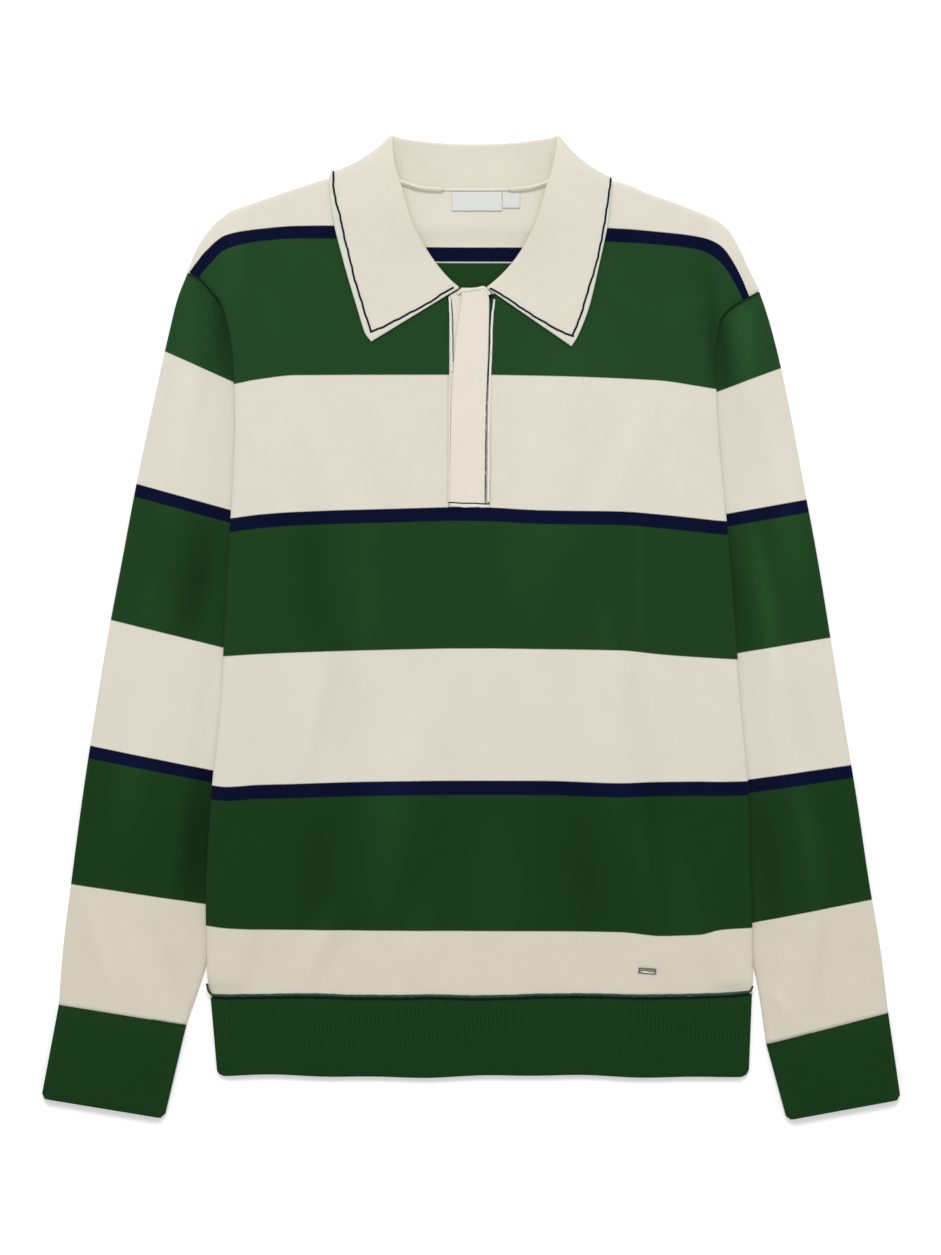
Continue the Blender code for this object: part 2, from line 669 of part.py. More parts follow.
def round_shares(points):
    """Shares of the way round a closed ring, with 1 at the end."""
    steps = np.linalg.norm(np.diff(np.vstack((points, points[:1])), axis=0), axis=1)
    return np.concatenate(((0.0,), np.cumsum(steps) / steps.sum()))


def ribbed(points, top_steps):
    """The section's points with every other one along the top sunk between two ribs."""
    points = points.copy()
    first = 3
    valleys = np.arange(first + 1, first + top_steps, 2)
    points[valleys, 2] -= RIB_DEPTH
    return points


def ribbed_band(name, sections, rise, spread=None):
    """A band of a flattened tube: ribs raised along its top between plain edges, over a plain inside."""
    first = sections[0]
    flat_run = math.hypot(first[2] - first[0], first[3] - first[1]) - 2 * FOLD_RUN
    ribs = 2 * round(flat_run / RIB_PITCH)
    inner_steps = round(flat_run / INNER_STEP)
    bm = bmesh.new()
    plain = [ring(row, rise, 0.0, ribs, inner_steps) for row in sections]
    inner = [ring(row, rise, BAND_WALL, inner_steps, inner_steps) for row in (first, sections[-1])]
    if spread:
        for skin in (plain[-1], inner[-1]):
            skin[:, 1] += spread(skin[:, 0])
    outer = plain[:1] + [ribbed(points, ribs) for points in plain[1:-1]] + plain[-1:]
    outer_rings = [[bm.verts.new(point) for point in row.tolist()] for row in outer]
    inner_rings = [[bm.verts.new(point) for point in row.tolist()] for row in inner]
    for rings in (outer_rings, inner_rings):
        for low, high in zip(rings, rings[1:]):
            for j in range(len(low)):
                k = (j + 1) % len(low)
                bm.faces.new((low[j], low[k], high[k], high[j]))
    for end in (0, -1):
        shares = round_shares(plain[end]), round_shares(inner[end])
        stitch(bm, outer_rings[end], inner_rings[end], *shares)
    return finished(name, bm, GREEN)


class Wave(NamedTuple):
    """One wave of an edge that isn't quite straight."""

    height: float
    length: float
    start: float


HEM_WAVES = (Wave(0.9, 34.0, 0.0), Wave(0.5, 13.0, 1.0))


def hem_wave(x):
    """How far the waistband's free edge strays at x."""
    return sum(wave.height * np.sin(x / wave.length + wave.start) for wave in HEM_WAVES)


def waistband():
    """The rib knit band round the hem."""
    sections = [np.array((row.left_x, row.y, row.right_x, row.y, 0.0)) for row in WAISTBAND]
    return ribbed_band("waistband", sections, front_rise, hem_wave)


def cuff(name, table):
    """The rib knit band at a sleeve's end, with softly rounded corners."""
    top, end = (np.array(row) for row in table)
    sections = [pulled_back(top, end, GAP / 2)]
    for step in CUFF_STEPS:
        row = top + (end - top) * step.share
        across = (row[2:4] - row[:2]) / np.linalg.norm(row[2:4] - row[:2])
        row[:2] += step.corner * across
        row[2:4] -= step.corner * across
        sections.append(row)
    return ribbed_band(name, sections, sleeve_rise)


def collar_section(row, side):
    """Middle of the collar's wall through one section, from the neck seam over the roll to the edge."""
    turn = math.radians(row.turn)
    outward = np.array((side * ROLL_OUTWARD[0], ROLL_OUTWARD[1], 0.0))
    stack = outward * math.cos(turn) + np.array((0.0, 0.0, math.sin(turn)))
    seam = np.array((row.seam_x, row.seam_y, 0.0))
    roll = np.array((row.roll_x, row.roll_y, 0.0))
    edge = np.array((row.edge_x, row.edge_y, 0.0))
    front_share = (1 + math.sin(turn)) / 2
    half = BAND_WALL / 2
    behind = BAND_WALL + GAP + half
    before = float(front_rise(seam[0], seam[1])) - half
    stand_z = behind + (before - behind) * front_share
    lay = BAND_WALL + GAP
    low_edge, high_edge = half, float(front_rise(edge[0], edge[1])) + LEAF_LIFT + half
    edge += outward * math.cos(turn) * (high_edge - low_edge) / 2
    edge[2] = low_edge + (high_edge - low_edge) * front_share
    seam[2] = roll[2] = stand_z
    inward = (seam - roll) / np.linalg.norm(seam - roll)
    fall = roll + stack * lay
    leaf_way = (edge - fall) / np.linalg.norm(edge - fall)
    seam = seam - GAP * inward
    points = [seam, (seam + roll) / 2, roll + inward * ROLL_RUN, roll + stack * lay / 2]
    start = fall + leaf_way * ROLL_RUN
    for share in LEAF_SHARES:
        sag = LEAF_SAG * math.cos(turn) * 4 * share * (1 - share)
        point = start + (edge - start) * share - outward * sag
        if row.turn == 90.0:
            point[2] = max(point[2], float(front_rise(point[0], point[1])) + LEAF_LIFT + half)
        points.append(point)
    return points


def collar():
    """The collar: a stand and a leaf in one strip, rolled over all round the neck."""
    centre = [collar_section(CENTRE_COLLAR, 0.0)]
    left = [collar_section(row, -1.0) for row in LEFT_COLLAR]
    right = [collar_section(row, 1.0) for row in RIGHT_COLLAR]
    middle = np.array(left + centre + right)
    turns = np.radians([row.turn for row in LEFT_COLLAR + (CENTRE_COLLAR,) + RIGHT_COLLAR])
    pressed = 1 - PEAK_PRESS * np.cos(turns)
    out = wall_normals(middle) * BAND_WALL / 2 * pressed[:, None, None]
    return wall("collar", middle + out, middle - out, CREAM)


class BandEdge(NamedTuple):
    """The left and right edge of a placket band at one height."""

    y: float
    left_x: float
    right_x: float


OVER_BAND = (
    BandEdge(93.3, -16.7, 10.9),
    BandEdge(160.0, -15.5, 11.6),
    BandEdge(207.0, -13.2, 13.4),
    BandEdge(232.0, -10.6, 14.0),
    BandEdge(252.5, -7.8, 14.3),
    BandEdge(256.5, -7.7, 13.9),
    BandEdge(263.4, -7.6, 10.5),
)
UNDER_BAND = (
    BandEdge(93.3, -17.0, 9.0),
    BandEdge(232.0, -17.0, 9.0),
    BandEdge(257.2, -17.0, 9.0),
    BandEdge(260.3, -12.3, 9.0),
    BandEdge(263.4, -7.3, 9.0),
)


def placket(name, table, left_z, right_z, thickness):
    """One placket band: it lies on the front's own surface, moved out or in from side to side."""
    stations = np.array(table)
    corner, end = stations[-3, 0], stations[-1, 0]
    heights = np.concatenate((np.linspace(stations[0, 0], corner, 10), np.linspace(corner, end, 4)[1:]))
    rows = np.column_stack((heights, smooth(stations[:, 0], stations[:, 1:], heights)))
    shares = np.linspace(0.0, 1.0, 5)
    x = rows[:, 1:2] + (rows[:, 2:3] - rows[:, 1:2]) * shares
    y = np.repeat(rows[:, :1], len(shares), axis=1)
    z = front_rise(x, y) + left_z + (right_z - left_z) * shares
    outer = np.stack((x, y, z), axis=2)
    inner = outer - np.array((0.0, 0.0, thickness))
    return wall(name, outer, inner, CREAM)


def placket_bands():
    """The upper band, bowed over the lower one, and the lower one in the slot beneath it."""
    placket("placket_over", OVER_BAND, OVER_FREE_LIFT, OVER_SEWN_LIFT, BAND_WALL)
    placket("placket_under", UNDER_BAND, UNDER_SEWN_LIFT, UNDER_FREE_LIFT, WALL)


def plate(name, corners, lift, thickness, surface, colour, metallic=0.0):
    """A small flat piece on a panel, from its corner points and the panel's height."""
    bm = bmesh.new()
    low = [bm.verts.new((x, y, float(surface(x, y)) + lift)) for x, y in corners]
    high = [bm.verts.new((v.co.x, v.co.y, v.co.z + thickness)) for v in low]
    bm.faces.new(low[::-1])
    bm.faces.new(high)
    for j in range(len(low)):
        k = (j + 1) % len(low)
        bm.faces.new((low[j], low[k], high[k], high[j]))
    return finished(name, bm, colour, 0.4 if metallic else 0.7, metallic)


class Label(NamedTuple):
    """A blank woven label in the back neck, by its sides."""

    left_x: float
    right_x: float
    low_y: float
    high_y: float


LABELS = {
    "label_main": Label(-14.8, 24.1, 323.2, 338.2),
    "label_size": Label(24.5, 38.0, 325.5, 337.4),
}
LABEL_WALL = 0.7


def back_inside(x, y):
    """Height of the back panel's inside."""
    return back_rise(x, y) + WALL


def labels():
    """The two blank woven labels inside the back neck."""
    for name, side in LABELS.items():
        bottom = [(side.left_x, side.low_y), (side.right_x, side.low_y)]
        top = [(side.right_x, side.high_y), (side.left_x, side.high_y)]
        plate(name, bottom + top, GAP, LABEL_WALL, back_inside, LABEL_WHITE)


class TabCorner(NamedTuple):
    """A corner of the metal tab, in halves of its length and height."""

    across: float
    up: float


TAB_CENTRE = (136.9, -267.1)
TAB_HALF = (7.1, 2.2)
TAB_TILT = math.radians(-5.0)
TAB_WALL = 0.8
TAB_CORNERS = (
    TabCorner(-1.0, -0.55),
    TabCorner(-0.9, -1.0),
    TabCorner(0.9, -1.0),
    TabCorner(1.0, -0.55),
    TabCorner(0.88, 0.0),
    TabCorner(1.0, 0.55),
    TabCorner(0.9, 1.0),
    TabCorner(-0.9, 1.0),
    TabCorner(-1.0, 0.55),
    TabCorner(-0.88, 0.0),
)


def metal_tab():
    """The small bare metal bar above the hem, with its ends nicked."""
    corners = []
    for corner in TAB_CORNERS:
        along, up = corner.across * TAB_HALF[0], corner.up * TAB_HALF[1]
        x = TAB_CENTRE[0] + along * math.cos(TAB_TILT) - up * math.sin(TAB_TILT)
        y = TAB_CENTRE[1] + along * math.sin(TAB_TILT) + up * math.cos(TAB_TILT)
        corners.append((x, y))
    plate("metal_tab", corners, GAP, TAB_WALL, front_rise, TAB_METAL, 1.0)


def main():
    """Clear the scene and build every piece."""
    for obj in list(bpy.data.objects):
        bpy.data.objects.remove(obj, do_unlink=True)
    bpy.context.scene.collection.children.link(bpy.data.collections.new("popover_shirt"))
    front_panel()
    back_panel()
    sleeve("sleeve_left", LEFT_SLEEVE, 14)
    sleeve("sleeve_right", RIGHT_SLEEVE, 14)
    cuff("cuff_left", LEFT_CUFF)
    cuff("cuff_right", RIGHT_CUFF)
    waistband()
    collar()
    placket_bands()
    labels()
    metal_tab()


main()
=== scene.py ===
"""Dresses the laid-out popover shirt: knitted shells, rib bands, collar, placket, thread, labels and light.

Sizes are millimetres in the shirt's own tables and metres in every mesh. +X is to the viewer's right,
+Y is towards the collar and +Z is away from the surface that the shirt lies on.
"""

import logging
import math
from dataclasses import dataclass
from enum import Enum
from typing import Callable, NamedTuple, Sequence

import bpy
import numpy as np
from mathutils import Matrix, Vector


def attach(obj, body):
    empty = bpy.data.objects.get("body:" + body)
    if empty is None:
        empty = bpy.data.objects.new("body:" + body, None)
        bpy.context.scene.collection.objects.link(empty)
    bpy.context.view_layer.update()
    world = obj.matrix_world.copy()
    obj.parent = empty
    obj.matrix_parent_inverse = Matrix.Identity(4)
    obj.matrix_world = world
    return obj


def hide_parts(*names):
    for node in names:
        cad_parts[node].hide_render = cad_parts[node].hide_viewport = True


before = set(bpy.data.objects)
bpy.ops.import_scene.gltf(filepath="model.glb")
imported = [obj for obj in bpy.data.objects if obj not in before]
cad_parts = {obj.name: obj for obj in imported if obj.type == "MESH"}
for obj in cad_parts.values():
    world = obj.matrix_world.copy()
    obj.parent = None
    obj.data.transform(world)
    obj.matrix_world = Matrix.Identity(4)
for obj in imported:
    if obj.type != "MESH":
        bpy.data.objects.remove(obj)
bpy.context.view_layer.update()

LOG = logging.getLogger("popover_shirt")

MM = 0.001
MIDDLE = (0.1, -0.6)

WALL = 1.6
BAND_WALL = 2.0
GAP = 0.3
FOLD_RUN = 4.5
HEM_Y = -288.0
BAND_END_Y = -349.0
SLOT_LEFT = -17.3
SLOT_RIGHT = 14.6
SLOT_END_Y = 93.0
BODY_HALF_WIDTH = 190.0

Grid = np.ndarray
Rise = Callable[[Grid, Grid], Grid]
Colour = tuple[float, float, float]


class Yarn(Enum):
    """The yarns of the shirt, as linear base colours."""

    CREAM = (0.735, 0.700, 0.600)
    # The cream yarn made darker with painted shade, for the stripes near the hem and the cuffs.
    CREAM_PAINTED_SHADE = (0.700, 0.650, 0.540)
    IVORY = (0.790, 0.735, 0.645)
    WHITE = (0.740, 0.735, 0.650)
    MARGIN = (0.715, 0.715, 0.610)
    # The green yarn made lighter with painted light, for the stripes near the collar.
    GREEN_PAINTED_LIGHT = (0.0165, 0.0610, 0.0195)
    GREEN = (0.0135, 0.0525, 0.0140)
    # The green yarn made darker with painted shade, for the stripes near the hem, the rib bands and the green
    # thread.
    GREEN_PAINTED_SHADE = (0.0108, 0.0445, 0.0112)
    TEAL = (0.0300, 0.0800, 0.0430)
    NAVY = (0.0029, 0.0050, 0.0255)
    DARK = (0.0040, 0.0120, 0.0130)


def each(kind: Callable, *rows: tuple) -> tuple:
    """A table from the values of its rows, which are all of one kind."""
    return tuple(kind(*row) for row in rows)


class BodyRow(NamedTuple):
    """Where one row of the body meets its two side edges; middle_y is the row's height at the centre."""

    middle_y: float
    left_x: float
    left_y: float
    right_x: float
    right_y: float


class ShoulderPoint(NamedTuple):
    """A point of the shoulder line: its share of the way to the neck, and of the rise on each side."""

    across: float
    left_rise: float
    right_rise: float


class NeckPoint(NamedTuple):
    """The front neckline's half widths at one height; below the top of the slot they are the slot's."""

    y: float
    left_x: float
    right_x: float


class SleeveRow(NamedTuple):
    """One section of a sleeve, from its outer folded edge to its inner one, with the head's swelling."""

    outer_x: float
    outer_y: float
    inner_x: float
    inner_y: float
    bow: float = 0.0


class BowPoint(NamedTuple):
    """A point of the sleeve head's swelling, by its share of the way along the section."""

    along: float
    swell: float


class BandRow(NamedTuple):
    """One row of the waistband, from its left edge to its right one."""

    y: float
    left_x: float
    right_x: float


class Fold(NamedTuple):
    """A soft ridge, or a trough where height is negative; along is its direction from +X."""

    x: float
    y: float
    along: float
    length: float
    width: float
    height: float


class CollarRow(NamedTuple):
    """One section of the collar: neck seam, roll, free edge, and which way the stand faces."""

    seam_x: float
    seam_y: float
    roll_x: float
    roll_y: float
    edge_x: float
    edge_y: float
    turn: float


class BandEdge(NamedTuple):
    """The left and right edge of a placket band at one height."""

    y: float
    left_x: float
    right_x: float


class StripeLine(NamedTuple):
    """One line of knitting across the body: its height at the centre, and how far it strays at each place."""

    middle_y: float
    strays: tuple[float, ...]


class Stripe(NamedTuple):
    """A stripe of one yarn, from its lower line upwards."""

    start: float
    yarn: Yarn


BODY_ROWS = each(
    BodyRow,
    (-288.0, -202.5, -288.0, 218.5, -284.6),
    (-265.0, -205.0, -265.0, 218.8, -265.0),
    (-212.0, -206.0, -212.0, 218.0, -212.0),
    (-134.0, -202.0, -134.0, 216.0, -134.0),
    (-53.0, -194.0, -53.0, 209.0, -53.0),
    (21.0, -190.5, 21.0, 204.0, 21.0),
    (100.0, -186.0, 100.0, 197.0, 100.0),
    (158.0, -183.5, 158.0, 192.0, 158.0),
    (206.0, -185.0, 206.0, 190.0, 204.0),
    (250.0, -190.0, 238.0, 193.0, 236.0),
    (284.0, -195.0, 252.5, 202.5, 248.5),
    (310.0, -202.0, 261.0, 210.0, 253.0),
    (332.0, -209.0, 269.0, 217.0, 257.0),
    (350.0, -220.0, 276.0, 224.0, 261.0),
)
SHOULDER_LINE = each(
    ShoulderPoint,
    (0.0, 0.0, 0.0),
    (0.035, 0.190, 0.120),
    (0.065, 0.310, 0.230),
    (0.104, 0.430, 0.374),
    (0.162, 0.556, 0.542),
    (0.221, 0.640, 0.625),
    (0.344, 0.733, 0.716),
    (0.565, 0.889, 0.853),
    (0.734, 0.980, 0.956),
    (1.0, 1.0, 1.0),
)
FRONT_NECK = each(
    NeckPoint,
    (-288.0, SLOT_LEFT, SLOT_RIGHT),
    (246.0, SLOT_LEFT, SLOT_RIGHT),
    (258.0, -19.5, 17.5),
    (272.0, -31.0, 35.0),
    (292.0, -46.0, 51.0),
    (316.0, -58.0, 63.0),
    (336.0, -64.0, 70.0),
    (350.0, -66.0, 72.0),
)
LEFT_SLEEVE = each(
    SleeveRow,
    (-220.4, 275.5, -112.0, 66.0, 15.0),
    (-228.4, 254.0, -111.5, 61.0, 8.0),
    (-236.0, 223.0, -111.5, 57.0, 3.0),
    (-246.3, 176.4, -112.0, 53.0),
    (-259.5, 114.2, -114.0, 47.0),
    (-271.2, 52.0, -124.4, 12.6),
    (-282.8, -10.0, -141.1, -45.3),
    (-293.0, -72.3, -159.3, -102.0),
    (-302.3, -134.4, -176.7, -159.3),
    (-310.5, -196.6, -193.0, -218.3),
    (-317.2, -252.0, -208.0, -270.0),
    (-320.4, -293.4, -221.2, -309.2),
)
RIGHT_SLEEVE = each(
    SleeveRow,
    (224.4, 260.5, 115.0, 64.0, 19.5),
    (231.5, 238.5, 114.5, 59.0, 10.0),
    (237.8, 215.0, 114.5, 55.0, 4.0),
    (246.3, 176.4, 115.0, 50.0),
    (258.0, 114.2, 116.5, 44.0),
    (269.6, 52.0, 121.0, 18.0),
    (279.7, -10.0, 136.1, -36.6),
    (289.8, -72.3, 153.9, -96.3),
    (300.0, -134.4, 172.2, -158.1),
    (309.2, -196.6, 195.5, -217.0),
    (318.4, -252.0, 220.5, -268.0),
    (324.3, -299.7, 229.6, -324.4),
)
LEFT_CUFF = (SleeveRow(-320.4, -293.4, -221.2, -309.2), SleeveRow(-334.2, -366.0, -238.2, -381.8))
RIGHT_CUFF = (SleeveRow(324.3, -299.7, 229.6, -324.4), SleeveRow(334.2, -366.9, 245.3, -383.2))
SLEEVE_HEAD = each(
    BowPoint,
    (0.0, 0.0),
    (0.02, 0.33),
    (0.05, 0.63),
    (0.10, 0.90),
    (0.16, 1.0),
    (0.25, 0.90),
    (0.50, 0.28),
    (1.0, 0.0),
)
WAISTBAND = (
    BandRow(HEM_Y - GAP, -202.5, 218.5),
    BandRow(-345.0, -197.6, 216.2),
    BandRow(-347.8, -195.6, 214.2),
    BandRow(BAND_END_Y, -192.5, 211.2),
)
BODY_FOLDS = each(
    Fold,
    (188.5, 222.0, 92.0, 42.0, 6.5, -3.2),
    (-82.0, 28.0, 90.0, 50.0, 14.0, 1.2),
    (131.0, 25.0, 90.0, 50.0, 5.0, 1.2),
    (133.0, -165.0, 92.0, 50.0, 7.0, 1.2),
    (-124.0, 30.0, 92.0, 85.0, 15.0, -1.5),
    (-60.0, -108.0, 70.0, 60.0, 22.0, 2.2),
    (-164.0, -75.0, 84.0, 55.0, 12.0, -1.2),
    (-98.0, -70.0, 96.0, 60.0, 13.0, -2.0),
    (-124.0, -72.0, 88.0, 50.0, 11.0, 1.7),
    (132.0, -95.0, 98.0, 70.0, 9.0, -2.5),
    (108.0, -70.0, 94.0, 65.0, 14.0, 2.7),
    (-62.0, -165.0, 80.0, 60.0, 14.0, 1.8),
    (-118.0, -195.0, 86.0, 55.0, 20.0, -1.7),
    (88.0, -190.0, 97.0, 60.0, 20.0, -1.4),
    (-105.0, -255.0, 62.0, 30.0, 9.0, -2.0),
    (-118.0, -245.0, 66.0, 34.0, 10.0, 2.2),
    (-45.0, -250.0, 72.0, 36.0, 12.0, 2.0),
    (165.0, -225.0, 100.0, 50.0, 15.0, 1.7),
    (-182.0, 300.0, 84.0, 40.0, 9.0, 1.9),
    (-172.0, 275.0, 92.0, 45.0, 8.0, -0.5),
    (178.0, 285.0, 88.0, 40.0, 9.0, -0.8),
    (60.0, 120.0, 80.0, 110.0, 30.0, 1.4),
    (20.0, -210.0, 90.0, 80.0, 24.0, 1.2),
)
SLEEVE_FOLDS = each(
    Fold,
    (-192.0, 232.0, 95.0, 48.0, 7.5, -3.4),
    (-220.0, 235.0, 82.0, 30.0, 7.0, 1.2),
    (-216.0, 45.0, 78.0, 55.0, 22.0, -1.1),
    (-209.0, -168.0, 84.0, 60.0, 12.0, -3.2),
    (194.0, 222.0, 95.0, 45.0, 6.0, -3.4),
    (213.0, 235.0, 95.0, 40.0, 8.0, 2.4),
    (208.0, 150.0, 97.0, 60.0, 8.0, -2.0),
    (224.0, 40.0, 100.0, 55.0, 9.0, 1.8),
    (-224.0, 150.0, 82.0, 60.0, 12.0, 2.6),
    (-206.0, 175.0, 84.0, 70.0, 8.0, -1.4),
    (-212.0, 35.0, 76.0, 48.0, 11.0, -2.4),
    (-250.0, 10.0, 80.0, 50.0, 13.0, 0.8),
    (-218.0, -165.0, 82.0, 60.0, 9.0, -1.8),
    (-262.0, -110.0, 78.0, 50.0, 13.0, 2.1),
    (-287.0, -250.0, 104.0, 42.0, 8.0, 2.4),
    (-230.0, -275.0, 108.0, 30.0, 8.0, -1.9),
    (-262.0, -262.0, 100.0, 36.0, 9.0, 1.6),
    (212.0, 200.0, 96.0, 60.0, 8.0, 1.9),
    (220.0, 140.0, 98.0, 55.0, 8.0, -1.9),
    (245.0, 90.0, 98.0, 60.0, 13.0, 2.2),
    (208.0, 25.0, 100.0, 55.0, 9.0, -1.6),
    (230.0, 10.0, 100.0, 60.0, 9.0, 2.2),
    (256.0, -80.0, 98.0, 40.0, 8.0, -2.1),
    (262.0, -165.0, 100.0, 60.0, 10.0, 2.6),
    (232.0, -180.0, 98.0, 50.0, 9.0, -1.6),
    (275.0, -255.0, 84.0, 40.0, 6.0, -2.2),
    (240.0, -292.0, 128.0, 22.0, 6.0, 1.9),
)
LEFT_COLLAR = each(
    CollarRow,
    (-19.0, 258.0, -9.5, 263.0, -77.5, 221.5, 90.0),
    (-30.5, 272.0, -18.0, 270.5, -82.0, 227.5, 90.0),
    (-45.5, 292.0, -31.0, 286.5, -88.9, 249.0, 90.0),
    (-57.5, 316.0, -45.5, 312.5, -99.4, 285.0, 90.0),
    (-63.5, 336.0, -53.5, 338.5, -107.5, 319.0, 90.0),
    (-65.0, 345.5, -60.0, 362.0, -110.0, 342.0, 90.0),
    (-65.0, 351.5, -61.0, 374.0, -108.7, 347.7, 60.0),
    (-64.0, 352.0, -60.5, 379.5, -106.0, 349.1, 20.0),
    (-63.0, 351.6, -59.0, 380.0, -103.5, 348.6, -20.0),
    (-61.0, 350.2, -55.5, 379.0, -99.5, 345.5, -60.0),
    (-55.0, 347.4, -48.0, 378.0, -84.0, 334.0, -90.0),
    (-38.0, 341.6, -34.0, 376.2, -54.0, 326.0, -90.0),
    (-18.0, 340.6, -15.0, 374.8, -24.0, 324.0, -90.0),
)
CENTRE_COLLAR = CollarRow(3.0, 340.5, 3.0, 374.4, 3.0, 323.5, -90.0)
RIGHT_COLLAR = each(
    CollarRow,
    (24.0, 340.6, 21.0, 374.8, 30.0, 324.0, -90.0),
    (44.0, 341.6, 40.0, 376.2, 60.0, 326.0, -90.0),
    (61.0, 347.4, 54.0, 378.0, 90.0, 334.0, -90.0),
    (67.0, 350.2, 61.5, 379.0, 101.0, 343.0, -60.0),
    (69.0, 351.6, 65.0, 380.0, 104.5, 345.1, -20.0),
    (70.0, 352.0, 66.5, 379.5, 106.7, 345.1, 20.0),
    (71.0, 351.5, 66.5, 374.0, 108.4, 344.2, 60.0),
    (71.0, 345.5, 64.5, 360.0, 109.0, 339.0, 90.0),
    (69.5, 336.0, 58.0, 338.5, 107.0, 318.0, 90.0),
    (62.5, 316.0, 50.0, 312.5, 99.5, 281.0, 90.0),
    (50.5, 292.0, 36.5, 287.5, 91.0, 246.0, 90.0),
    (34.5, 272.0, 23.0, 272.0, 82.0, 224.0, 90.0),
    (17.0, 258.0, 12.5, 263.0, 78.0, 217.8, 90.0),
)
OVER_BAND = each(
    BandEdge,
    (93.3, -16.7, 10.9),
    (160.0, -15.5, 11.6),
    (207.0, -13.2, 13.4),
    (232.0, -10.6, 14.0),
    (252.5, -7.8, 14.3),
    (256.5, -7.7, 13.9),
    (263.4, -7.6, 10.5),
)
UNDER_BAND = each(
    BandEdge,
    (93.3, -17.0, 9.0),
    (232.0, -17.0, 9.0),
    (257.2, -17.0, 9.0),
    (260.3, -12.3, 9.0),
    (263.4, -7.3, 9.0),
)

STRAY_X = (-222.0, -205.0, -190.0, -164.0, -133.0, -60.0, 0.0, 55.0, 116.0, 147.0, 178.0, 192.0, 205.0, 224.0)
UPPER_STRAYS = (-11.0, -10.0, -9.2, -6.0, -3.8, -1.4, 0.0, -2.6, -3.6, -6.0, -9.2, -10.7, -11.5, -12.0)
BODY_LINES = each(
    StripeLine,
    (-285.4, (14.0, 8.8, 3.5, 1.6, 1.2, 0.4, 0.0, 0.2, 0.8, 1.6, 2.8, 3.6, 4.3, 5.0)),
    (-236.2, (6.0, 4.3, 2.3, 1.2, 0.8, 0.2, 0.0, -0.2, -1.0, -3.9, -2.7, 0.8, 2.0, 3.0)),
    (-130.5, (-1.5, -2.9, -4.5, -3.0, -2.3, -0.4, 0.0, -0.1, -1.9, -0.8, -0.5, -0.7, -0.5, 0.2)),
    (-119.3, (-1.5, -2.9, -4.7, -3.1, -2.3, -0.4, 0.0, -0.1, -1.9, -0.8, -0.5, -0.7, -0.5, 0.2)),
    (-16.7, (-7.0, -6.8, -6.0, -4.4, -3.1, -1.0, 0.0, -0.6, -1.6, -4.7, -7.0, -7.8, -8.5, -9.0)),
    (83.5, UPPER_STRAYS),
    (93.3, UPPER_STRAYS),
    (
        195.8, (-11.0, -10.0, -8.4, -3.6, -0.3, 0.0, 0.0, -0.8, -2.8, -4.7, -9.3, -11.3, -12.0, -13.0)
    ),
    (301.1, (-45.0, -22.5, -8.0, -1.4, 0.6, 0.4, 0.0, 0.0, -2.3, -4.3, -8.2, -16.7, -35.5, -80.0)),
    (311.6, (-41.0, -18.8, -7.2, -2.3, 0.0, 0.0, 0.0, 0.0, -2.3, -4.7, -8.6, -14.0, -30.7, -75.0)),
    (350.0, (-40.0, -18.0, -7.0, -2.5, 0.0, 0.0, 0.0, 0.0, -2.0, -4.7, -8.6, -14.0, -30.0, -74.0)),
)
# The lowest cream and green stripes use the painted-shade copies of their yarns.
LOWER_STRIPES = each(
    Stripe,
    (-400.0, Yarn.CREAM_PAINTED_SHADE),
    (-236.2, Yarn.GREEN_PAINTED_SHADE),
    (-130.5, Yarn.NAVY),
    (-119.3, Yarn.CREAM),
    (-16.7, Yarn.GREEN),
    (82.6, Yarn.NAVY),
    (93.3, Yarn.CREAM),
)
# The top green stripe uses the painted-light copy of the green yarn.
BODY_STRIPES = LOWER_STRIPES + (
    Stripe(195.8, Yarn.GREEN_PAINTED_LIGHT),
    Stripe(301.1, Yarn.NAVY),
    Stripe(311.6, Yarn.CREAM),
)
BACK_STRIPES = LOWER_STRIPES + (
    Stripe(195.8, Yarn.GREEN),
    Stripe(283.2, Yarn.WHITE),
    Stripe(284.0, Yarn.NAVY),
    Stripe(295.3, Yarn.CREAM),
)


def table_slopes(stations: Grid, values: Grid) -> Grid:
    """Slopes at a table's stations that never carry the curve past its neighbours.

    Args:
        stations: the rising places of the table's rows.
        values: the value, or row of values, at each place.

    Returns:
        The slope at each place.
    """
    spans = np.diff(stations).reshape((-1,) + (1,) * (values.ndim - 1))
    rates = np.diff(values, axis=0) / spans
    before, after = rates[:-1], rates[1:]
    same_way = before * after > 0
    total = np.where(same_way, before + after, 1.0)
    between = np.where(same_way, 2 * before * after / total, 0.0)
    return np.concatenate((rates[:1], between, rates[-1:]))


def smooth(stations: Sequence[float], values: Sequence, at: Grid) -> Grid:
    """Values of a smooth curve through a table.

    Args:
        stations: the rising places of the table's rows.
        values: the value, or row of values, at each place.
        at: the places to read.

    Returns:
        The curve's values there.
    """
    stations, values, at = (np.asarray(each, float) for each in (stations, values, at))
    slope = table_slopes(stations, values)
    low = np.clip(np.searchsorted(stations, at, side="right") - 1, 0, len(stations) - 2)
    step = stations[low + 1] - stations[low]
    share = np.clip((at - stations[low]) / step, 0.0, 1.0)
    if values.ndim > 1:
        step, share = step[..., None], share[..., None]
    rise = 3 * share**2 - 2 * share**3
    bend = share * (1 - share)
    return (
        values[low] * (1 - rise)
        + values[low + 1] * rise
        + step * bend * ((1 - share) * slope[low] - share * slope[low + 1])
    )


def eased(value: Grid, start: float, end: float) -> Grid:
    """0 before start, 1 after end, and a smooth climb between them."""
    share = np.clip((value - start) / (end - start), 0.0, 1.0)
    return share * share * (3 - 2 * share)


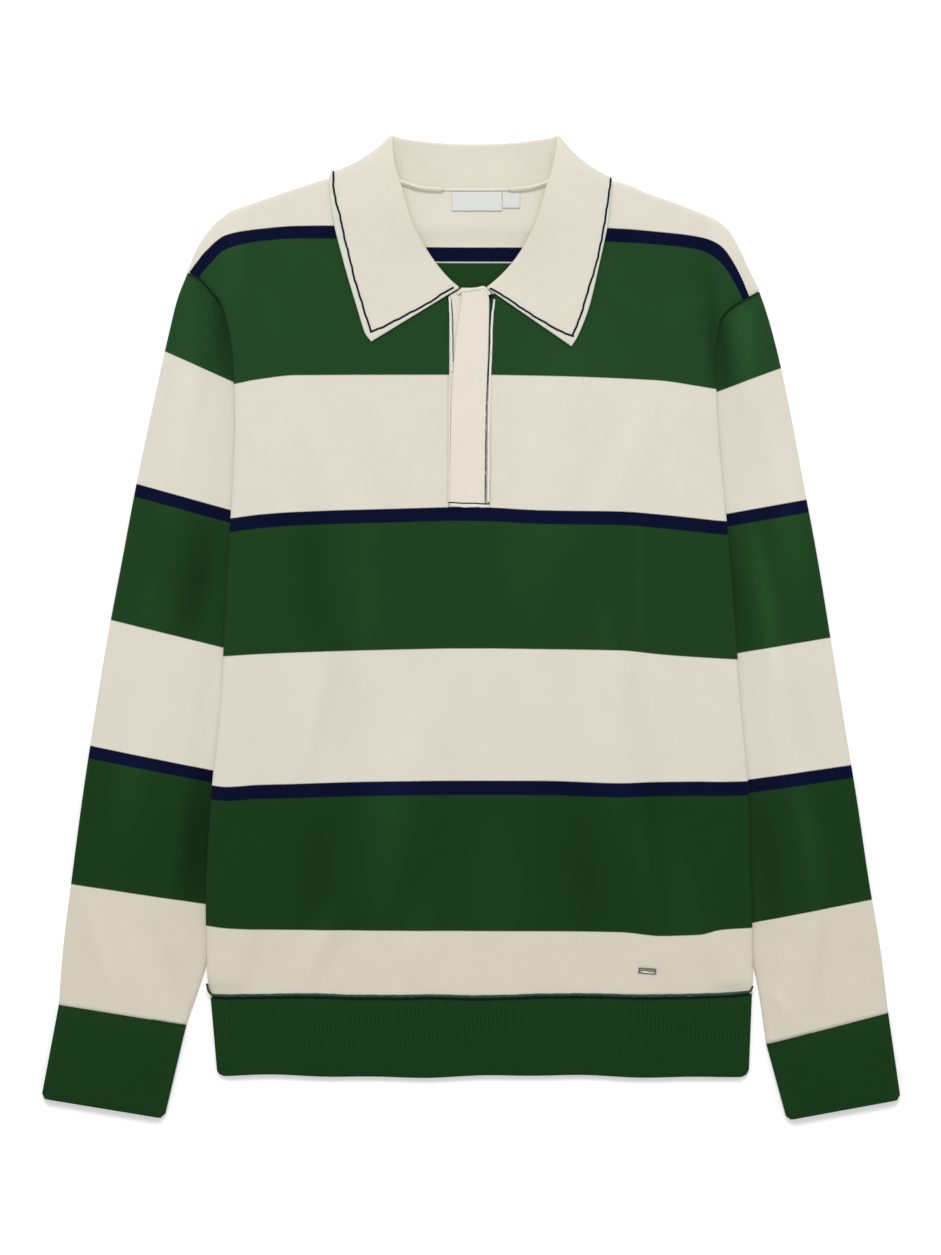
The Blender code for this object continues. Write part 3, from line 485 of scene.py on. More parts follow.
def fold_height(folds: Sequence[Fold], x: Grid, y: Grid) -> Grid:
    """The sum of the soft ridges and troughs.

    Args:
        folds: the ridges and troughs.
        x: places across.
        y: places up the shirt.

    Returns:
        The height that they add at each place.
    """
    total = np.zeros(np.broadcast(x, y).shape)
    for fold in folds:
        turn = math.radians(fold.along)
        along = (x - fold.x) * math.cos(turn) + (y - fold.y) * math.sin(turn)
        across = (y - fold.y) * math.cos(turn) - (x - fold.x) * math.sin(turn)
        total += fold.height * np.exp(-((along / fold.length) ** 2) - (across / fold.width) ** 2)
    return total


def section_points(row: Grid, along: Grid) -> Grid:
    """Points of a sleeve's section.

    Args:
        row: the section, as a row of a sleeve's table.
        along: distances from its outer fold.

    Returns:
        The x and y of each point.
    """
    start, end, bow = np.array(row[:2]), np.array(row[2:4]), row[4]
    length = np.linalg.norm(end - start)
    way = (end - start) / length
    side = np.array((-way[1], way[0])) * math.copysign(1.0, way[0])
    head = np.array(SLEEVE_HEAD)
    swell = bow * smooth(head[:, 0], head[:, 1], along / length)
    return start + way * along[:, None] + side * swell[:, None]


@dataclass(frozen=True)
class Lay:
    """How the layers lie on each other: the height of each one over the surface."""

    flat_rise: float = 5.6
    sleeve_under: float = 4.0
    sleeve_crown: float = 3.4
    crown_climb: tuple[float, float] = (6.0, 26.0)
    collar_lift: float = BAND_WALL + 2 * GAP
    sleeve_climb: tuple[float, float] = (-46.0, -22.0)
    front_share: float = 0.82
    hem_climb: tuple[float, float] = (1.0, 15.0)
    armhole_climb: tuple[float, float] = (-325.0, -285.0)
    collar_middle_x: float = 3.0
    fall_climb_y: tuple[float, float] = (296.0, 313.0)
    fall_climb_x: tuple[float, float] = (-140.0, -120.0)
    head_shares: tuple[float, ...] = (0.45, 0.2, 0.1, 0.0)

    def hidden_edge(self, table: Sequence[SleeveRow], y: Grid) -> Grid:
        """How far in under the body a sleeve reaches.

        Args:
            table: the sleeve's sections.
            y: heights up the shirt.

        Returns:
            The x of the sleeve's inner fold, then of its head, at each height.
        """
        rows = np.array(table)
        length = math.hypot(*(rows[0, 2:4] - rows[0, :2]))
        head = section_points(rows[0], length * np.array(self.head_shares))
        edge = np.concatenate((rows[::-1, 2:4], head))
        return np.interp(y, edge[:, 1], edge[:, 0])

    def back(self, x: Grid, y: Grid) -> Grid:
        """Height of the back panel's underside, lifted over the sleeves and the collar's fall."""
        from_left = self.hidden_edge(LEFT_SLEEVE, y) - x
        from_right = x - self.hidden_edge(RIGHT_SLEEVE, y)
        over_sleeve = eased(np.maximum(from_left, from_right), *self.sleeve_climb)
        over_sleeve = over_sleeve * eased(y - HEM_Y, *self.hem_climb) * eased(-y, *self.armhole_climb)
        from_middle = -np.abs(x - self.collar_middle_x)
        over_fall = eased(y, *self.fall_climb_y) * eased(from_middle, *self.fall_climb_x)
        return (self.sleeve_under + GAP) * over_sleeve + self.collar_lift * over_fall

    def front(self, x: Grid, y: Grid) -> Grid:
        """Height of the front panel's top, with its folds."""
        return self.flat_rise + self.front_share * self.back(x, y) + fold_height(BODY_FOLDS, x, y)

    def sleeve(self, x: Grid, y: Grid) -> Grid:
        """Height of a sleeve's top: low under the body, higher beside it, with its folds."""
        rows = np.array(BODY_ROWS)
        left = smooth(rows[:, 2], rows[:, 1], y)
        right = smooth(rows[:, 4], rows[:, 3], y)
        beside = eased(np.maximum(left - x, x - right), *self.crown_climb)
        return self.sleeve_under + beside * (self.sleeve_crown + fold_height(SLEEVE_FOLDS, x, y))


LAY = Lay()


class Weave(NamedTuple):
    """Where a point lies in the knitting, in millimetres: across the wales and up the courses."""

    across: Grid
    up: Grid


@dataclass
class Shell:
    """A closed wall of cloth between two grids of points."""

    name: str
    outer: Grid
    inner: Grid
    weave: Weave
    closed: bool = False
    keep: Grid | None = None

    def cells(self) -> Grid:
        """The corners of each kept cell, as row-major indices of the grid."""
        rows, columns = self.outer.shape[:2]
        last = columns if self.closed else columns - 1
        i, j = np.meshgrid(np.arange(rows - 1), np.arange(last), indexing="ij")
        right = (j + 1) % columns
        corners = np.stack(
            (i * columns + j, i * columns + right, (i + 1) * columns + right, (i + 1) * columns + j), axis=2
        )
        return corners[self.keep] if self.keep is not None else corners.reshape(-1, 4)

    def faces(self) -> Grid:
        """The quads of both skins and of every rim."""
        top = self.cells()
        count = self.outer.shape[0] * self.outer.shape[1]
        starts = top.reshape(-1)
        ends = np.roll(top, -1, axis=1).reshape(-1)
        bare = ~np.isin(ends * count + starts, starts * count + ends)
        starts, ends = starts[bare], ends[bare]
        rims = np.stack((ends, starts, starts + count, ends + count), axis=1)
        return np.concatenate((top, top[:, ::-1] + count, rims))

    def build(self) -> bpy.types.Object:
        """Make the mesh, with its weave as a UV map in metres.

        Returns:
            The object, linked to the scene.
        """
        points = np.concatenate((self.outer.reshape(-1, 3), self.inner.reshape(-1, 3)))
        faces = self.faces()
        used, index = np.unique(faces, return_inverse=True)
        faces = outward(points[used], index.reshape(faces.shape))
        flat_weave = np.column_stack((self.weave.across.reshape(-1), self.weave.up.reshape(-1)))
        weave = np.concatenate((flat_weave, flat_weave))[used]
        obj = mesh_object(self.name, points[used], faces.tolist())
        layer = obj.data.uv_layers.new(name="weave")
        layer.data.foreach_set("uv", (weave[faces.reshape(-1)] * MM).reshape(-1).astype(np.float32))
        return obj


def outward(points: Grid, faces: Grid) -> Grid:
    """Quads of a closed mesh, turned so that they all point outwards.

    Args:
        points: one row for each vertex.
        faces: the quads, which already agree with each other.

    Returns:
        The quads as they are, or all reversed where the mesh was inside out.
    """
    first, second, third, fourth = (points[faces[:, j]] for j in range(4))
    volume = np.sum(first * np.cross(second, third)) + np.sum(first * np.cross(third, fourth))
    return faces if volume > 0 else faces[:, ::-1]


def mesh_object(name: str, points: Grid, faces: list, edges: Sequence = ()) -> bpy.types.Object:
    """A smooth-shaded mesh from points in the shirt's millimetres.

    Args:
        name: the piece's name.
        points: one row for each vertex.
        faces: the vertex numbers of each face.
        edges: the vertex numbers of each loose edge.

    Returns:
        The object, linked to the scene, at the origin.
    """
    places = (np.asarray(points, float) - np.array((*MIDDLE, 0.0))) * MM
    mesh = bpy.data.meshes.new(name)
    mesh.from_pydata(places.tolist(), list(edges), faces)
    mesh.validate()
    mesh.shade_smooth()
    obj = bpy.data.objects.new(name, mesh)
    bpy.context.scene.collection.objects.link(obj)
    return obj


class NodeWriter:
    """Adds nodes to a tree and links them, so that a finish reads as a short list of steps."""

    def __init__(self, tree: bpy.types.NodeTree) -> None:
        """Keep the tree to write in."""
        self.tree = tree

    def add(self, kind: str, settings: dict | None = None, inputs: dict | None = None) -> bpy.types.Node:
        """Add a node.

        Args:
            kind: the node's type name.
            settings: properties of the node, by name.
            inputs: sockets by name or number, each with a value or a socket to link from.

        Returns:
            The node.
        """
        node = self.tree.nodes.new(kind)
        for name, value in (settings or {}).items():
            setattr(node, name, value)
        for name, value in (inputs or {}).items():
            if isinstance(value, bpy.types.NodeSocket):
                self.tree.links.new(value, node.inputs[name])
            else:
                node.inputs[name].default_value = value
        return node

    def link(self, source: object, target: bpy.types.NodeSocket) -> None:
        """Link one socket to another."""
        self.tree.links.new(source, target)

    def math(self, operation: str, first: object, second: object = 0.0, third: object = 0.0) -> object:
        """The result socket of a Math node on up to three values or sockets."""
        node = self.add("ShaderNodeMath", {"operation": operation}, {0: first, 1: second, 2: third})
        return node.outputs[0]

    def mix(self, share: object, low: object, high: object) -> object:
        """The colour socket between two colours, by a share."""
        node = self.add("ShaderNodeMix", {"data_type": "RGBA"}, {0: share, 6: low, 7: high})
        return node.outputs[2]

    def noise(self, place: object, scale: float, detail: float) -> object:
        """The value socket, between 0 and 1, of soft noise at a place."""
        inputs = {"Vector": place, "Scale": scale, "Detail": detail}
        return self.add("ShaderNodeTexNoise", inputs=inputs).outputs["Fac"]


@dataclass(frozen=True)
class Finish:
    """A material of the shirt; each kind adds its own colour and relief."""

    name: str
    roughness: float = 0.9
    sheen: float = 0.03
    sheen_roughness: float = 0.5
    specular: float = 0.03
    relief: float = 0.1
    strength: float = 0.4
    tones: tuple[float, float] = (1.0, 1.0)

    def start(self) -> tuple[bpy.types.Material, NodeWriter, bpy.types.Node]:
        """A new node material with its shader's own values set."""
        material = bpy.data.materials.new(self.name)
        material.use_nodes = True
        shader = material.node_tree.nodes["Principled BSDF"]
        shader.inputs["Roughness"].default_value = self.roughness
        shader.inputs["Sheen Weight"].default_value = self.sheen
        shader.inputs["Sheen Roughness"].default_value = self.sheen_roughness
        shader.inputs["Specular IOR Level"].default_value = self.specular
        return material, NodeWriter(material.node_tree), shader

    def weave_axes(self, write: NodeWriter) -> tuple[object, object]:
        """Sockets for the place across the wales and up the courses, in metres."""
        uv = write.add("ShaderNodeUVMap", {"uv_map": "weave"})
        split = write.add("ShaderNodeSeparateXYZ", inputs={0: uv.outputs[0]})
        return split.outputs[0], split.outputs[1]

    def streaks(self, write: NodeWriter, across: object, up: object, sizes: tuple[float, float]) -> object:
        """Soft noise drawn out along the knitting.

        Args:
            write: the tree's writer.
            across: the place across, in metres.
            up: the place up, in metres.
            sizes: the noise's grain across and up, in millimetres.

        Returns:
            A socket between 0 and 1.
        """
        place = write.add(
            "ShaderNodeCombineXYZ",
            inputs={
                0: write.math("DIVIDE", across, sizes[0] * MM),
                1: write.math("DIVIDE", up, sizes[1] * MM),
            },
        )
        return write.noise(place.outputs[0], 1.0, 2.0)

    def shaded(self, write: NodeWriter, colour: object, amount: object) -> object:
        """A colour multiplied by an amount near 1."""
        node = write.add("ShaderNodeVectorMath", {"operation": "SCALE"}, {0: colour, "Scale": amount})
        return node.outputs[0]

    def two_tone(self, write: NodeWriter, share: object, colour: Colour) -> object:
        """Run a colour between this finish's two tones.

        Args:
            write: the tree's writer.
            share: a socket that is 0 at the darker tone and 1 at the lighter one.
            colour: the colour before it is toned.

        Returns:
            The colour's socket.
        """
        base = np.array(colour)
        dark, light = ((*(base * tone), 1.0) for tone in self.tones)
        return write.mix(share, dark, light)

    def emboss(self, write: NodeWriter, shader: bpy.types.Node, height: object) -> None:
        """Give the shader this finish's relief.

        Args:
            write: the tree's writer.
            shader: the material's shader.
            height: a socket for the height, about 0 to 1.
        """
        inputs = {"Strength": self.strength, "Distance": self.relief * MM, "Height": height}
        bump = write.add("ShaderNodeBump", inputs=inputs)
        write.link(bump.outputs[0], shader.inputs["Normal"])


@dataclass(frozen=True)
class Jersey(Finish):
    """Fine plain knitting, in stripes that follow its courses."""

    relief: float = 0.16
    strength: float = 0.6
    stripes: tuple[Stripe, ...] = ()
    wale: float = 1.1
    course: float = 0.85
    stitch_lean: float = 1.5
    tooth: float = 0.8
    base_shade: float = 0.89
    stitch_shade: float = 0.07
    # How strongly the folds' heights are painted into the colour as shade and light.
    painted_fold_strength: float = 0.12
    crease_range: tuple[float, float] = (-3.5, 3.0)
    wale_grain: tuple[float, float] = (1.4, 26.0)
    wale_shade: float = 0.05
    wale_relief: float = 0.4
    course_grain: tuple[float, float] = (40.0, 1.2)
    course_shade: float = 0.05
    cloud_grain: tuple[float, float] = (34.0, 46.0)
    cloud_shade: float = 0.06

    def painted_fold_shading(self, write: NodeWriter, colour: object) -> object:
        """Painted shade in the creases and painted light on the ridges, from each point's fold height,
        strongest in dark yarn.
        """
        if isinstance(colour, tuple):
            return 0.0
        fold = write.add("ShaderNodeAttribute", {"attribute_name": "fold"}).outputs["Fac"]
        light = write.add("ShaderNodeRGBToBW", inputs={0: colour}).outputs[0]
        dark = write.math("POWER", write.math("SUBTRACT", 1.0, light), 2.0)
        lowest, highest = self.crease_range
        kept = write.math("MINIMUM", write.math("MAXIMUM", fold, lowest), highest)
        return write.math("MULTIPLY", kept, dark)

    def stripe_colour(self, write: NodeWriter, up: object) -> object:
        """The yarn's colour at a height: each stripe takes over above its lower line."""
        colour = (*self.stripes[0].yarn.value, 1.0)
        for stripe in self.stripes[1:]:
            above = write.math("GREATER_THAN", up, stripe.start * MM)
            colour = write.mix(above, colour, (*stripe.yarn.value, 1.0))
        return colour

    def stitches(self, write: NodeWriter, across: object, up: object) -> object:
        """The height of the V-shaped stitches, between 0 and 1."""
        wale = write.math("DIVIDE", across, self.wale * MM)
        lean = write.math("MULTIPLY", write.math("PINGPONG", wale, 0.5), self.stitch_lean)
        course = write.math("ADD", write.math("DIVIDE", up, self.course * MM), lean)
        leg = write.math("ABSOLUTE", write.math("SINE", write.math("MULTIPLY", wale, 2 * math.pi)))
        loop = write.math("ABSOLUTE", write.math("SINE", write.math("MULTIPLY", course, math.pi)))
        return write.math("MULTIPLY", leg, loop)

    def build(self) -> bpy.types.Material:
        """Make the material."""
        material, write, shader = self.start()
        across, up = self.weave_axes(write)
        zigzag = write.math("PINGPONG", across, self.wale * MM / 2)
        toothed = write.math("MULTIPLY_ADD", zigzag, 2 * self.tooth / self.wale, up)
        toothed = write.math("SUBTRACT", toothed, self.tooth * MM / 2)
        colour = self.stripe_colour(write, toothed)
        stitch = self.stitches(write, across, up)
        wales = self.streaks(write, across, up, self.wale_grain)
        courses = self.streaks(write, across, up, self.course_grain)
        clouds = self.streaks(write, across, up, self.cloud_grain)
        amount = write.math("MULTIPLY_ADD", stitch, self.stitch_shade, self.base_shade)
        amount = write.math("MULTIPLY_ADD", wales, self.wale_shade, amount)
        amount = write.math("MULTIPLY_ADD", courses, self.course_shade, amount)
        amount = write.math("MULTIPLY_ADD", clouds, self.cloud_shade, amount)
        # Painted shade in the folds' troughs and painted light on their ridges, strongest in dark yarn.
        amount = write.math("MULTIPLY_ADD", self.painted_fold_shading(write, colour), self.painted_fold_strength, amount)
        write.link(self.shaded(write, colour, amount), shader.inputs["Base Color"])
        height = self.grooved(write, write.math("MULTIPLY_ADD", wales, self.wale_relief, stitch))
        self.emboss(write, shader, height)
        return material

    def grooved(self, write: NodeWriter, height: object) -> object:
        """The relief with any grooves of its own kind of knitting: none here."""
        return height


@dataclass(frozen=True)
class PlainKnit(Jersey):
    """Firm knitting of one yarn, as on the collar and the placket."""

    yarn: Yarn = Yarn.CREAM
    cast_grain: float = 60.0
    warm_cast: Colour = (1.01, 1.0, 0.97)
    cool_cast: Colour = (0.99, 1.0, 1.02)

    def stripe_colour(self, write: NodeWriter, up: object) -> object:
        """One yarn, with its faint cast of pink and green from place to place."""
        base = np.array(self.yarn.value)
        cast = self.streaks(write, up, up, (self.cast_grain, self.cast_grain))
        warm = (*(base * self.warm_cast), 1.0)
        cool = (*(base * self.cool_cast), 1.0)
        return write.mix(cast, warm, cool)


@dataclass(frozen=True)
class CollarKnit(PlainKnit):
    """Firm cream knitting with a whiter margin along its free edges."""

    margin: float = 4.6
    groove_width: float = 1.1
    groove_depth: float = 2.4

    def edge_distance(self, write: NodeWriter) -> object:
        """How far a point is from the nearest free edge, in millimetres."""
        return write.add("ShaderNodeAttribute", {"attribute_name": "free_edge"}).outputs["Fac"]

    def stripe_colour(self, write: NodeWriter, up: object) -> object:
        """The margin's whiter yarn, then the collar's own."""
        inside = write.math("GREATER_THAN", self.edge_distance(write), self.margin)
        return write.mix(inside, (*Yarn.MARGIN.value, 1.0), super().stripe_colour(write, up))

    def grooved(self, write: NodeWriter, height: object) -> object:
        """The relief, with a groove where the margin is joined on."""
        gap = write.math("ABSOLUTE", write.math("SUBTRACT", self.edge_distance(write), self.margin))
        groove = write.math("MINIMUM", write.math("DIVIDE", gap, self.groove_width), 1.0)
        return write.math("MULTIPLY_ADD", groove, self.groove_depth, height)


@dataclass(frozen=True)
class RibKnit(PlainKnit):
    """Rib knitting, with painted shade down in the furrows between its ribs."""

    painted_furrow_shade: float = 0.42
    painted_furrow_middle: float = 0.6

    def stripe_colour(self, write: NodeWriter, up: object) -> object:
        """The yarn, with painted shade by how deep a point lies between two ribs."""
        phase = write.add("ShaderNodeAttribute", {"attribute_name": "rib_phase"}).outputs["Fac"]
        crown = write.math("ABSOLUTE", write.math("COSINE", write.math("MULTIPLY", phase, math.pi)))
        # Painted shade: darkest down in the furrows, lightest on the ribs' crowns.
        amount = write.math("MULTIPLY_ADD", crown, self.painted_furrow_shade, 1 - self.painted_furrow_middle * self.painted_furrow_shade)
        return self.shaded(write, super().stripe_colour(write, up), amount)


@dataclass(frozen=True)
class Thread(Finish):
    """Twisted thread of one colour."""

    tones: tuple[float, float] = (0.75, 1.3)
    yarn: Yarn = Yarn.NAVY
    grain: float = 900.0

    def build(self) -> bpy.types.Material:
        """Make the material."""
        material, write, shader = self.start()
        place = write.add("ShaderNodeTexCoord")
        fibre = write.noise(place.outputs["Object"], self.grain, 2.0)
        write.link(self.two_tone(write, fibre, self.yarn.value), shader.inputs["Base Color"])
        self.emboss(write, shader, fibre)
        return material


@dataclass(frozen=True)
class LabelCloth(Finish):
    """Smooth woven tape, blank."""

    relief: float = 0.05
    strength: float = 0.3
    tones: tuple[float, float] = (0.93, 1.04)
    colour: Colour = (0.69, 0.70, 0.68)
    thread: float = 0.35

    def build(self) -> bpy.types.Material:
        """Make the material."""
        material, write, shader = self.start()
        place = write.add("ShaderNodeTexCoord")
        split = write.add("ShaderNodeSeparateXYZ", inputs={0: place.outputs["Object"]})
        pitch = math.pi / (self.thread * MM)
        warp = write.math("SINE", write.math("MULTIPLY", split.outputs[0], pitch))
        weft = write.math("SINE", write.math("MULTIPLY", split.outputs[1], pitch))
        cross = write.math("MULTIPLY_ADD", write.math("MULTIPLY", warp, weft), 0.5, 0.5)
        write.link(self.two_tone(write, cross, self.colour), shader.inputs["Base Color"])
        self.emboss(write, shader, cross)
        return material


@dataclass(frozen=True)
class SatinMetal(Finish):
    """Bare metal, brushed along its length."""

    relief: float = 0.03
    strength: float = 0.25
    tones: tuple[float, float] = (0.8, 1.25)
    colour: Colour = (0.36, 0.34, 0.29)
    painted_rim_reflection: float = -0.68
    brushing: tuple[float, float, float] = (300.0, 9000.0, 3000.0)

    def build(self) -> bpy.types.Material:
        """Make the material."""
        material, write, shader = self.start()
        shader.inputs["Metallic"].default_value = 1.0
        place = write.add("ShaderNodeTexCoord")
        inputs = {"Vector": place.outputs["Object"], "Scale": self.brushing}
        drawn = write.add("ShaderNodeMapping", inputs=inputs)
        scratch = write.noise(drawn.outputs[0], 1.0, 3.0)
        # Painted dark reflection on the bar's rim.
        rim = write.add("ShaderNodeAttribute", {"attribute_name": "rim"}).outputs["Fac"]
        amount = write.math("MULTIPLY_ADD", rim, self.painted_rim_reflection, 1.0)
        brushed = self.two_tone(write, scratch, self.colour)
        write.link(self.shaded(write, brushed, amount), shader.inputs["Base Color"])
        self.emboss(write, shader, scratch)
        return material


class TreeInput(NamedTuple):
    """A named input of a node group."""

    name: str
    kind: str


def geometry_tree(
    name: str, inputs: Sequence[TreeInput]
) -> tuple[NodeWriter, bpy.types.Node, bpy.types.Node]:
    """An empty geometry node group.

    Args:
        name: the group's name.
        inputs: its inputs after the geometry.

    Returns:
        The group's writer, its input node and its output node.
    """
    tree = bpy.data.node_groups.new(name, "GeometryNodeTree")
    tree.interface.new_socket("Geometry", in_out="INPUT", socket_type="NodeSocketGeometry")
    for each in inputs:
        tree.interface.new_socket(each.name, in_out="INPUT", socket_type=each.kind)
    tree.interface.new_socket("Geometry", in_out="OUTPUT", socket_type="NodeSocketGeometry")
    write = NodeWriter(tree)
    return write, write.add("NodeGroupInput"), write.add("NodeGroupOutput")


def close_tree(write: NodeWriter, given: bpy.types.Node, result: bpy.types.Node, shape: object) -> None:
    """End a group: make its instances real, smooth them and give them the material."""
    real = write.add("GeometryNodeRealizeInstances", inputs={0: shape})
    smoothed = write.add("GeometryNodeSetShadeSmooth", inputs={"Geometry": real.outputs[0]})
    painted = write.add(
        "GeometryNodeSetMaterial",
        inputs={"Geometry": smoothed.outputs[0], "Material": given.outputs["Material"]},
    )
    write.link(painted.outputs[0], result.inputs[0])


def rib_tree() -> bpy.types.NodeTree:
    """The group that sinks a band's surface between its ribs."""
    inputs = (
        TreeInput("Depth", "NodeSocketFloat"),
        TreeInput("Sharpness", "NodeSocketFloat"),
        TreeInput("Material", "NodeSocketMaterial"),
    )
    write, given, result = geometry_tree("knitted_ribs", inputs)
    phase = write.add("GeometryNodeInputNamedAttribute", {"data_type": "FLOAT"}, {"Name": "rib_phase"})
    mask = write.add("GeometryNodeInputNamedAttribute", {"data_type": "FLOAT"}, {"Name": "rib_mask"})
    wave = write.math("ABSOLUTE", write.math("COSINE", write.math("MULTIPLY", phase.outputs[0], math.pi)))
    crown = write.math("POWER", wave, given.outputs["Sharpness"])
    sink = write.math("MULTIPLY", write.math("SUBTRACT", crown, 1.0), mask.outputs[0])
    amount = write.math("MULTIPLY", sink, given.outputs["Depth"])
    normal = write.add("GeometryNodeInputNormal")
    offset = write.add(
        "ShaderNodeVectorMath", {"operation": "SCALE"}, {0: normal.outputs[0], "Scale": amount}
    )
    moved = write.add(
        "GeometryNodeSetPosition",
        inputs={"Geometry": given.outputs["Geometry"], "Offset": offset.outputs[0]},
    )
    close_tree(write, given, result, moved.outputs[0])
    return write.tree


def stitch_tree() -> bpy.types.NodeTree:
    """The group that lays leaning stitches along a route."""
    inputs = (
        TreeInput("Pitch", "NodeSocketFloat"),
        TreeInput("Size", "NodeSocketVector"),
        TreeInput("Lean", "NodeSocketVector"),
        TreeInput("Material", "NodeSocketMaterial"),
    )
    write, given, result = geometry_tree("laid_stitches", inputs)
    curve = write.add("GeometryNodeMeshToCurve", inputs={0: given.outputs["Geometry"]})
    even = write.add(
        "GeometryNodeResampleCurve",
        {"mode": "LENGTH"},
        {"Curve": curve.outputs[0], "Length": given.outputs["Pitch"]},
    )
    bead = write.add("GeometryNodeMeshUVSphere", inputs={"Segments": 8, "Rings": 5, "Radius": 0.5})
    stitch = write.add(
        "GeometryNodeTransform",
        inputs={
            "Geometry": bead.outputs[0],
            "Rotation": given.outputs["Lean"],
            "Scale": given.outputs["Size"],
        },
    )
    tangent = write.add("GeometryNodeInputTangent")
    turned = write.add(
        "FunctionNodeAlignRotationToVector",
        {"axis": "X", "pivot_axis": "Z"},
        {"Vector": tangent.outputs[0]},
    )
    laid = write.add(
        "GeometryNodeInstanceOnPoints",
        inputs={"Points": even.outputs[0], "Instance": stitch.outputs[0], "Rotation": turned.outputs[0]},
    )
    close_tree(write, given, result, laid.outputs[0])
    return write.tree


def cord_tree() -> bpy.types.NodeTree:
    """The group that makes a flattened cord along a route."""
    inputs = (
        TreeInput("Radius", "NodeSocketFloat"),
        TreeInput("Flatness", "NodeSocketVector"),
        TreeInput("Material", "NodeSocketMaterial"),
    )
    write, given, result = geometry_tree("laid_cord", inputs)
    curve = write.add("GeometryNodeMeshToCurve", inputs={0: given.outputs["Geometry"]})
    upright = write.add("GeometryNodeSetCurveNormal", {"mode": "Z_UP"}, {"Curve": curve.outputs[0]})
    circle = write.add(
        "GeometryNodeCurvePrimitiveCircle", inputs={"Resolution": 10, "Radius": given.outputs["Radius"]}
    )
    profile = write.add(
        "GeometryNodeTransform",
        inputs={"Geometry": circle.outputs[0], "Scale": given.outputs["Flatness"]},
    )
    tube = write.add(
        "GeometryNodeCurveToMesh",
        inputs={"Curve": upright.outputs[0], "Profile Curve": profile.outputs[0], "Fill Caps": True},
    )
    close_tree(write, given, result, tube.outputs[0])
    return write.tree


def grown(obj: bpy.types.Object, tree: bpy.types.NodeTree, values: dict) -> bpy.types.Object:
    """Run a node group on a piece and keep the result as the piece's own mesh.

    Args:
        obj: the piece.
        tree: the node group.
        values: the group's inputs by name.

    Returns:
        The same piece.
    """
    modifier = obj.modifiers.new(tree.name, "NODES")
    modifier.node_group = tree
    sockets = {item.name: item.identifier for item in tree.interface.items_tree if item.in_out == "INPUT"}
    for name, value in values.items():
        modifier[sockets[name]] = value
    return settled(obj)


def settled(obj: bpy.types.Object) -> bpy.types.Object:
    """Turn a piece's evaluated shape into its own mesh and drop its modifiers."""
    graph = bpy.context.evaluated_depsgraph_get()
    mesh = bpy.data.meshes.new_from_object(
        obj.evaluated_get(graph), preserve_all_data_layers=True, depsgraph=graph
    )
    obj.modifiers.clear()
    obj.data = mesh
    return obj


class Point(NamedTuple):
    """A point of a route over the shirt."""

    x: float
    y: float


class Wave(NamedTuple):
    """One wave of an edge or line that isn't quite straight."""

    height: float
    length: float
    start: float


WANDER_WAVES = (Wave(1.0, 2.3, 0.0), Wave(0.7, 5.1, 1.0), Wave(0.5, 1.1, 2.0))
CAST_HEIGHT = 0.1
SOFT_SPAN = 5


def path(*points: tuple[float, float]) -> tuple[Point, ...]:
    """A route from the x and y of its points."""
    return tuple(Point(*point) for point in points)


def even_route(route: Sequence[Point], step: float, wander: float) -> Grid:
    """Points at even steps along a smooth route.

    Args:
        route: the route's own points.
        step: the distance between the new points.
        wander: how far the line strays from side to side.

    Returns:
        The x and y of each new point.
    """
    points = np.array(route)
    run = np.concatenate(((0.0,), np.cumsum(np.linalg.norm(np.diff(points, axis=0), axis=1))))
    at = np.linspace(0.0, run[-1], max(2, round(run[-1] / step) + 1))
    line = smooth(run, points, at)
    way = np.gradient(line, axis=0)
    side = np.column_stack((-way[:, 1], way[:, 0])) / np.linalg.norm(way, axis=1, keepdims=True)
    stray = sum(wave.height * np.sin(at / wave.length + wave.start) for wave in WANDER_WAVES)
    return line + side * (wander * stray)[:, None]


def laid_route(name: str, line: Grid, under: Sequence[bpy.types.Object], lift: float) -> bpy.types.Object:
    """A bare line that lies on one or more pieces.

    Args:
        name: the new object's name.
        line: the x and y of each point.
        under: the pieces that it lies on.
        lift: how far the line is above their surface.

    Returns:
        An object whose mesh has only the line.
    """
    heights = []
    for x, y in line:
        start = ((x - MIDDLE[0]) * MM, (y - MIDDLE[1]) * MM, CAST_HEIGHT)
        casts = [piece.ray_cast(start, (0.0, 0.0, -1.0)) for piece in under]
        beside = float(LAY.front(x, y))
        heights.append(max((place.z / MM for hit, place, _, _ in casts if hit), default=beside))
    heights = np.array(heights)
    padded = np.pad(heights, SOFT_SPAN // 2, mode="edge")
    soft = np.convolve(padded, np.full(SOFT_SPAN, 1 / SOFT_SPAN), "valid")
    points = np.column_stack((line, np.maximum(heights, soft) + lift))
    return mesh_object(name, points, [], [(j, j + 1) for j in range(len(points) - 1)])


@dataclass(frozen=True)
class StitchLine:
    """A row of stitches along a route on a piece."""

    name: str
    route: tuple[Point, ...]
    pitch: float = 1.5
    size: tuple[float, float, float] = (2.4, 1.75, 0.9)
    lean: float = 16.0
    lift: float = 0.2
    wander: float = 0.16

    def build(
        self, under: Sequence[bpy.types.Object], tree: bpy.types.NodeTree, material: bpy.types.Material
    ) -> bpy.types.Object:
        """Lay the stitches.

        Args:
            under: the pieces that they lie on.
            tree: the stitching group.
            material: the thread.

        Returns:
            The stitches as one mesh.
        """
        line = even_route(self.route, 1.0, self.wander)
        obj = laid_route(self.name, line, under, self.lift)
        values = {
            "Pitch": self.pitch * MM,
            "Size": [side * MM for side in self.size],
            "Lean": (0.0, 0.0, math.radians(self.lean)),
            "Material": material,
        }
        return grown(obj, tree, values)


